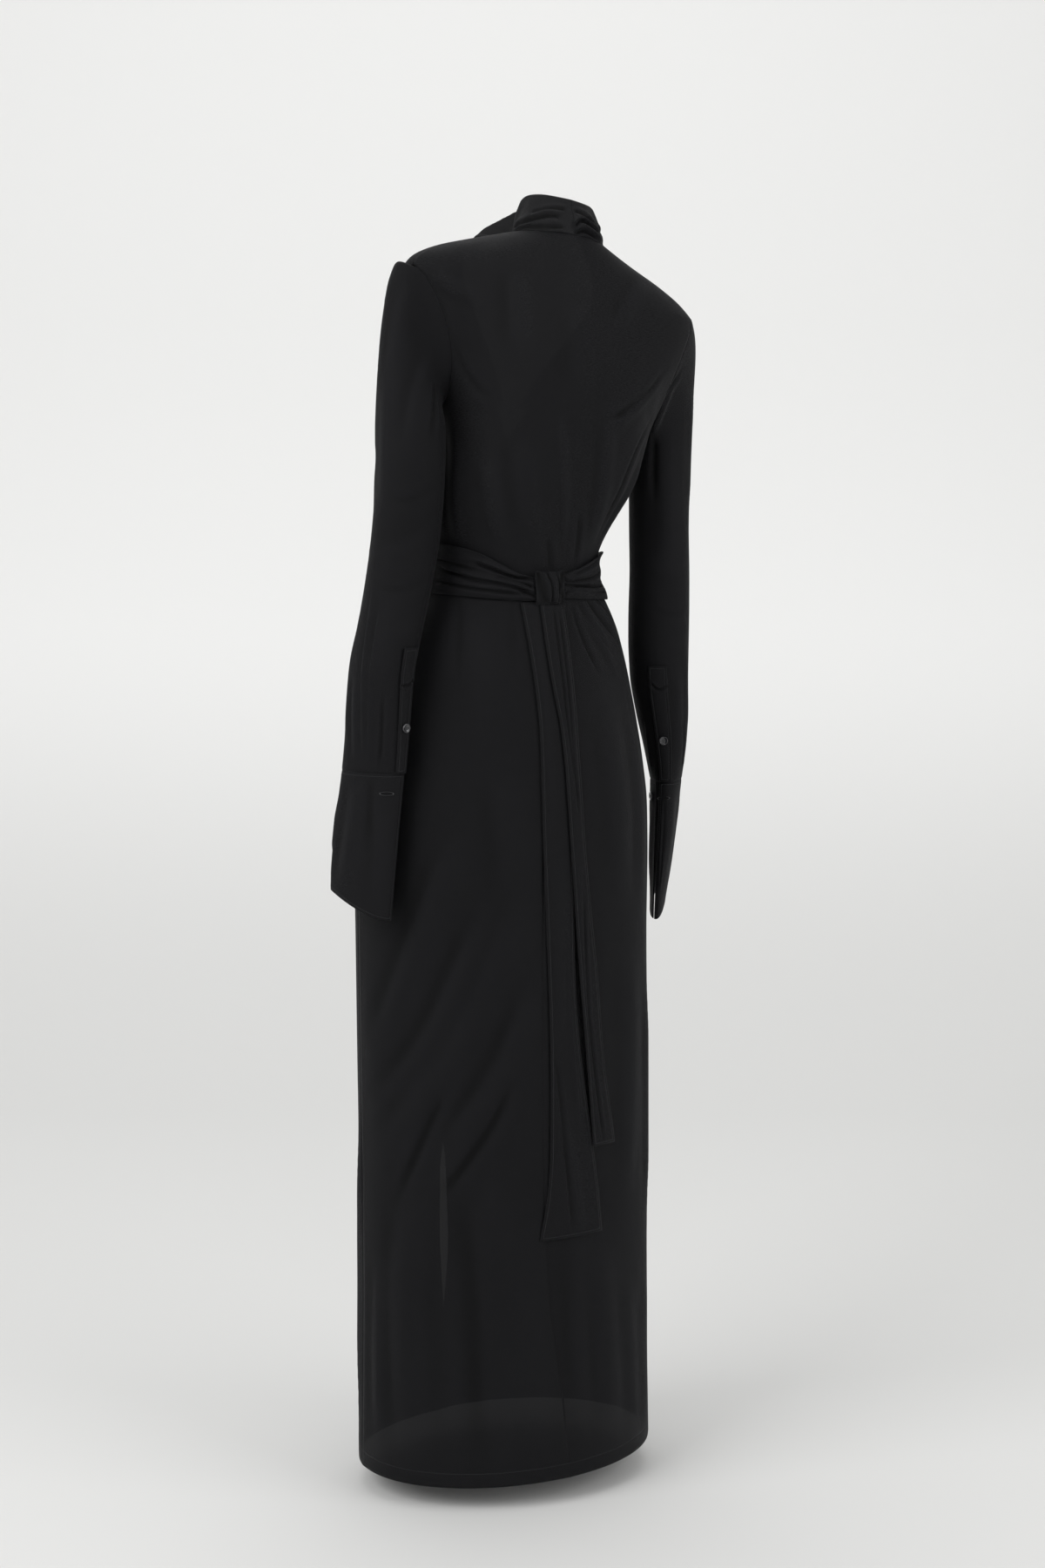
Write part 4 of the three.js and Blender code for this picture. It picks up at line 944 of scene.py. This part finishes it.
def sash() -> list[ClothPiece]:
    """The wrapped sash: two bands whose folds run in under the knot, the front, the knot and two tails."""
    return [
        ClothPiece("sash_left", 0.002, TORSO, (0.24, 0.085), 0.0095, "stretched",
                   ("bodice_back", "skirt_back_left"), (
            Fold(((60, -0.329), (48, -0.336), (32, -0.346), (14, -0.357), (4, -0.36)), 3.8, 3.6, GATHER),
            Fold(((86, -0.338), (62, -0.348), (36, -0.356), (13, -0.362), (4, -0.364)), 3.6, 3.0, GATHER),
            Fold(((84, -0.317), (64, -0.324), (40, -0.337), (20, -0.347)), 5, 2.2),
            Fold(((88, -0.352), (66, -0.358), (44, -0.363), (24, -0.366)), 3.2, 2.4, GATHER),
            Fold(((70, -0.343), (50, -0.35), (26, -0.359)), 3.8, 2.0),
            Fold(((46, -0.344), (30, -0.352), (15, -0.36), (4, -0.361)), 2.6, 2.2, GATHER),
            Fold(((92, -0.326), (76, -0.331), (60, -0.338)), 3, 1.8, GATHER),
        ), thick=0.0012, longest=0.012, fade=0.003),
        ClothPiece("sash_right", 0.002, TORSO, (0.23, 0.085), 0.0085, "stretched",
                   ("bodice_back", "skirt_back_right"), (
            Fold(((-4, -0.356), (-14, -0.357), (-30, -0.359), (-52, -0.361), (-76, -0.361)),
                 3.8, 3.6, GATHER),
            Fold(((-13, -0.347), (-30, -0.344), (-50, -0.338), (-72, -0.331)), 4.2, 2.4),
            Fold(((-4, -0.353), (-14, -0.352), (-34, -0.351), (-54, -0.348), (-74, -0.343)),
                 3.2, 2.6, GATHER),
            Fold(((-6, -0.362), (-18, -0.363), (-40, -0.366), (-72, -0.369)), 3, 2.4, GATHER),
            Fold(((-22, -0.343), (-42, -0.336), (-62, -0.327)), 2.8, 2.0, GATHER),
            Fold(((-14, -0.361), (-30, -0.364), (-50, -0.366)), 3.4, 1.8),
        ), thick=0.0012, longest=0.012, fade=0.003),
        ClothPiece("sash_front", 0.002, TORSO, (0.36, 0.085), 0.0205, "stretched",
                   ("bodice_front_over",), (
            Fold(((102, -0.33), (140, -0.338), (180, -0.345)), 3.4, 1.8, GATHER),
            Fold(((110, -0.35), (150, -0.353), (200, -0.35)), 3.4, 1.6),
            Fold(((170, -0.33), (215, -0.337), (258, -0.342)), 3.4, 1.8, GATHER),
            Fold(((190, -0.355), (225, -0.358), (256, -0.357)), 3.2, 1.4, GATHER),
        ), levels=2, thick=0.0012),
        ClothPiece("sash_knot", 0.002, TORSO, (0.05, 0.05), 0.0018, "folded",
                   ("sash_left", "sash_right"), (
            Fold(((15, -0.3), (14, -0.336), (12, -0.356), (9, -0.382), (9, -0.41)), 5, -2.6),
            Fold(((-11, -0.3), (-11, -0.336), (-11, -0.356), (-12, -0.382), (-12, -0.41)), 5, -2.4),
            Fold(((4, -0.3), (4, -0.336), (3, -0.356), (1, -0.382), (1, -0.41)), 2.4, 2.0, GATHER),
            Fold(((-4, -0.3), (-4, -0.336), (-5, -0.356), (-6, -0.382), (-6, -0.41)), 2.2, 1.4, GATHER),
        ), thick=0.0012, longest=0.008, reach_down=0.012, sink_down=0.007, fade=0.0015),
        ClothPiece("sash_tail_long", 0.0018, TORSO, (0.075, 0.78), 0.0375, "hung", ("sash_knot",), (
            Fold(((18, -0.39), (10, -0.52), (7, -0.66)), 4, 1.0, PLEAT),
            Fold(((4, -0.92), (0, -0.98), (-4, -1.05), (-9, -1.14)), 4, 1.3, GATHER),
            Fold(((-7, -0.79), (-10, -0.9), (-16, -1.02)), 5, 1.1),
            Fold(((0, -0.66), (-1, -0.78), (-2, -0.9)), 9, 0.9),
            Fold(((-4, -1.0), (-12, -1.08), (-16, -1.14)), 6, 1.1),
        ), thick=0.0012, edge=Edge.ALL_BUT_TOP, finish="jersey_stitched"),
        ClothPiece("sash_tail_short", 0.0018, TORSO, (0.06, 0.67), 0.0185, "hung", ("sash_knot",), (
            Fold(((1, -0.382), (0, -0.42), (-3, -0.5), (-8, -0.59)), 2.6, 1.4, GATHER),
            Fold(((-3, -0.385), (-5, -0.46), (-7, -0.54), (-11, -0.63)), 2.6, 1.3, GATHER),
            Fold(((-15, -0.72), (-19, -0.86), (-25, -0.955), (-31, -1.03)), 3, 1.4, GATHER),
            Fold(((-9, -0.66), (-14, -0.78), (-19, -0.92)), 5, 1.0),
        ), thick=0.0012, edge=Edge.ALL_BUT_TOP, finish="jersey_stitched"),
    ]


@dataclass
class Button:
    """A polished four-hole button with a raised rim, sewn on with two bars of thread."""

    node: str
    middle: MiddleLine
    radius: float = 0.0056
    thick: float = 0.0024
    hole: float = 0.00062
    spread: float = 0.00125

    def seat(self) -> tuple[Vector, Vector]:
        """Finds the middle of the solid and its direction out from the arm."""
        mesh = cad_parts[self.node].data
        points = np.array([tuple(v.co) for v in mesh.vertices])
        centre = points.mean(axis=0)
        axis = Vector(np.linalg.svd(points - centre, full_matrices=False)[2][2])
        x, y = middle_at(self.middle, centre[2])
        if axis.dot(Vector((centre[0] - x, centre[1] - y, 0))) < 0:
            axis.negate()
        return Vector(centre), axis.normalized()

    def place(self, bm: bmesh.types.BMesh) -> None:
        """Moves a mesh made round the origin, facing +Z, to the button's seat."""
        centre, axis = self.seat()
        turn = Vector((0, 0, 1)).rotation_difference(axis)
        bmesh.ops.transform(bm, matrix=turn.to_matrix().to_4x4(), verts=bm.verts)
        bmesh.ops.translate(bm, verts=bm.verts, vec=centre)

    def disc(self) -> bmesh.types.BMesh:
        """Spins the button's profile round its middle."""
        r, t = self.radius, self.thick
        line = [(0.0, -t / 2), (0.8 * r, -t / 2), (0.97 * r, -0.2 * t), (r, 0.12 * t),
                (0.94 * r, 0.42 * t), (0.84 * r, t / 2), (0.74 * r, 0.4 * t), (0.66 * r, 0.24 * t),
                (0.3 * r, 0.2 * t), (0.0, 0.2 * t)]
        bm = bmesh.new()
        verts = [bm.verts.new((x, 0, z)) for x, z in line]
        edges = [bm.edges.new(pair) for pair in zip(verts, verts[1:])]
        bmesh.ops.spin(bm, geom=verts + edges, cent=(0, 0, 0), axis=(0, 0, 1), angle=2 * math.pi, steps=40,
                       use_merge=True)
        bmesh.ops.remove_doubles(bm, verts=bm.verts, dist=1e-6)
        bmesh.ops.recalc_face_normals(bm, faces=bm.faces)
        return bm

    def drills(self) -> bmesh.types.BMesh:
        """Four thin rods where the holes go."""
        bm = bmesh.new()
        for k in range(4):
            turn = math.pi / 4 + k * math.pi / 2
            rod = bmesh.ops.create_cone(bm, cap_ends=True, segments=14, radius1=self.hole,
                                        radius2=self.hole, depth=3 * self.thick)
            bmesh.ops.translate(bm, verts=rod["verts"],
                                vec=(self.spread * math.cos(turn), self.spread * math.sin(turn), 0))
        return bm

    def thread(self) -> bmesh.types.BMesh:
        """Two crossed bars of thread that dip into the holes."""
        bm = bmesh.new()
        high, low = 0.42 * self.thick, -0.1 * self.thick
        for k in range(2):
            turn = math.pi / 4 + k * math.pi / 2
            out = Vector((math.cos(turn), math.sin(turn), 0))
            for shift in (-0.00022, 0.0, 0.00022):
                aside = Vector((-out.y, out.x, 0)) * shift
                top = high + 0.00012 * k
                line = ((-1.05, low), (-1.0, 0.6 * high), (-0.5, top),
                        (0.5, top), (1.0, 0.6 * high), (1.05, low))
                spots = [out * (self.spread * a) + aside + Vector((0, 0, z)) for a, z in line]
                ring = bmesh.ops.create_circle(bm, segments=6, radius=0.00016)["verts"]
                lean = Vector((0, 0, 1)).rotation_difference(out).to_matrix()
                bmesh.ops.rotate(bm, verts=ring, cent=(0, 0, 0), matrix=lean)
                bmesh.ops.translate(bm, verts=ring, vec=spots[0])
                edges = edges_of(ring)
                for a, b in zip(spots, spots[1:]):
                    made = bmesh.ops.extrude_edge_only(bm, edges=edges)["geom"]
                    moved = [g for g in made if isinstance(g, bmesh.types.BMVert)]
                    bmesh.ops.translate(bm, verts=moved, vec=b - a)
                    edges = [g for g in made if isinstance(g, bmesh.types.BMEdge)]
        bmesh.ops.recalc_face_normals(bm, faces=bm.faces)
        return bm

    def build(self, finishes: dict[str, bpy.types.Material]) -> None:
        """Makes the button and its thread."""
        disc, drills = self.disc(), self.drills()
        self.place(disc)
        self.place(drills)
        body, rods = new_object(f"shell_{self.node}", disc), new_object("rods", drills)
        cut = body.modifiers.new("holes", "BOOLEAN")
        cut.object, cut.operation, cut.solver = rods, "DIFFERENCE", "EXACT"
        mesh, old = evaluated(body), body.data
        body.modifiers.clear()
        body.data = mesh
        bpy.data.meshes.remove(old)
        bpy.data.objects.remove(rods)
        mesh.materials.clear()
        mesh.materials.append(finishes["button"])
        mesh.set_sharp_from_angle(angle=math.radians(40))
        shade_smooth(mesh)
        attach(body, "root")
        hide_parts(self.node)
        bars = self.thread()
        self.place(bars)
        sewn = new_object(f"thread_{self.node}", bars)
        shade_smooth(sewn.data)
        sewn.data.materials.append(finishes["thread"])
        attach(sewn, "root")
        log.info("%s with thread", body.name)


@dataclass
class Buttonhole:
    """A worked buttonhole: close stitches round a narrow slit, laid on a piece of cloth."""

    name: str
    cloth: str
    middle: MiddleLine
    ends: Run
    half_width: float = 0.0021

    def build(self, pieces: dict[str, bpy.types.Object], finishes: dict[str, bpy.types.Material]) -> None:
        """Lays a flat ring of thread round the slit, on the cloth."""
        mesh = pieces[self.cloth].data
        corners = [v.co.copy() for v in mesh.vertices]
        tree = BVHTree.FromPolygons(corners, [tuple(f.vertices) for f in mesh.polygons])
        spots = []
        for angle, z in self.ends:
            x, y = middle_at(self.middle, z)
            way = way_out(angle)
            spot = tree.ray_cast(Vector((x, y, z)) + way * 0.3, -way, 0.3)[:2]
            spots.append(spot if spot[0] else tree.find_nearest(Vector((x, y, z)) + way * 0.04)[:2])
        (a, n), (b, m) = spots
        along, out = (b - a).normalized(), (n + m).normalized()
        across = out.cross(along).normalized()
        length = (b - a).length / 2
        bm = bmesh.new()
        ring = bmesh.ops.create_circle(bm, segments=10, radius=0.0006)["verts"]
        bmesh.ops.rotate(bm, verts=ring, cent=(0, 0, 0),
                         matrix=Vector((0, 0, 1)).rotation_difference(across).to_matrix())
        bmesh.ops.translate(bm, verts=ring, vec=along * (length + self.half_width))
        geom = ring + edges_of(ring)
        bmesh.ops.spin(bm, geom=geom, cent=(0, 0, 0), axis=out, angle=2 * math.pi, steps=36,
                       use_merge=True)
        for v in bm.verts:
            flat = v.co.dot(across)
            v.co += across * (flat * (self.half_width / (length + self.half_width) - 1))
        bmesh.ops.translate(bm, verts=bm.verts, vec=(a + b) / 2 + out * 0.0006)
        bmesh.ops.recalc_face_normals(bm, faces=bm.faces)
        obj = new_object(self.name, bm)
        shade_smooth(obj.data)
        obj.data.materials.append(finishes["thread"])
        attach(obj, "root")
        log.info("%s on %s", self.name, self.cloth)


def main() -> None:
    """Builds the studio, the cloth, the buttons and the buttonholes."""
    logging.basicConfig(level=logging.INFO, format="%(message)s")
    Studio().build()
    groups = {"knit": knit_group(), "drape": drape_group(), "stitch": stitch_group()}
    finishes = {"jersey": Jersey("black_jersey").build(groups),
                "jersey_body": Jersey("black_jersey_body", alpha=0.955).build(groups),
                "jersey_hem": Jersey("black_jersey_hem", stitch=0.018, alpha=0.9).build(groups),
                "jersey_stitched": Jersey("black_jersey_double", stitch=0.0035, alpha=0.95).build(groups),
                "button": ButtonShell().build(), "thread": Thread().build()}
    pieces = {}
    for piece in [*bodice(), *skirt(), *sleeves(), *collar(), *sash()]:
        pieces[piece.node] = piece.build(finishes)
    for word, arm in (("left", LEFT_ARM), ("right", RIGHT_ARM)):
        Button(f"button_{word}", arm).build(finishes)
        Button(f"cuff_button_{word}", arm).build(finishes)
    for hole in (Buttonhole("buttonhole_left", "cuff_left", LEFT_ARM, ((-7, -0.597), (-23, -0.597))),
                 Buttonhole("buttonhole_right", "cuff_right", RIGHT_ARM, ((36, -0.631), (19, -0.63)))):
        hole.build(pieces, finishes)


if __name__ == "__main__":
    main()
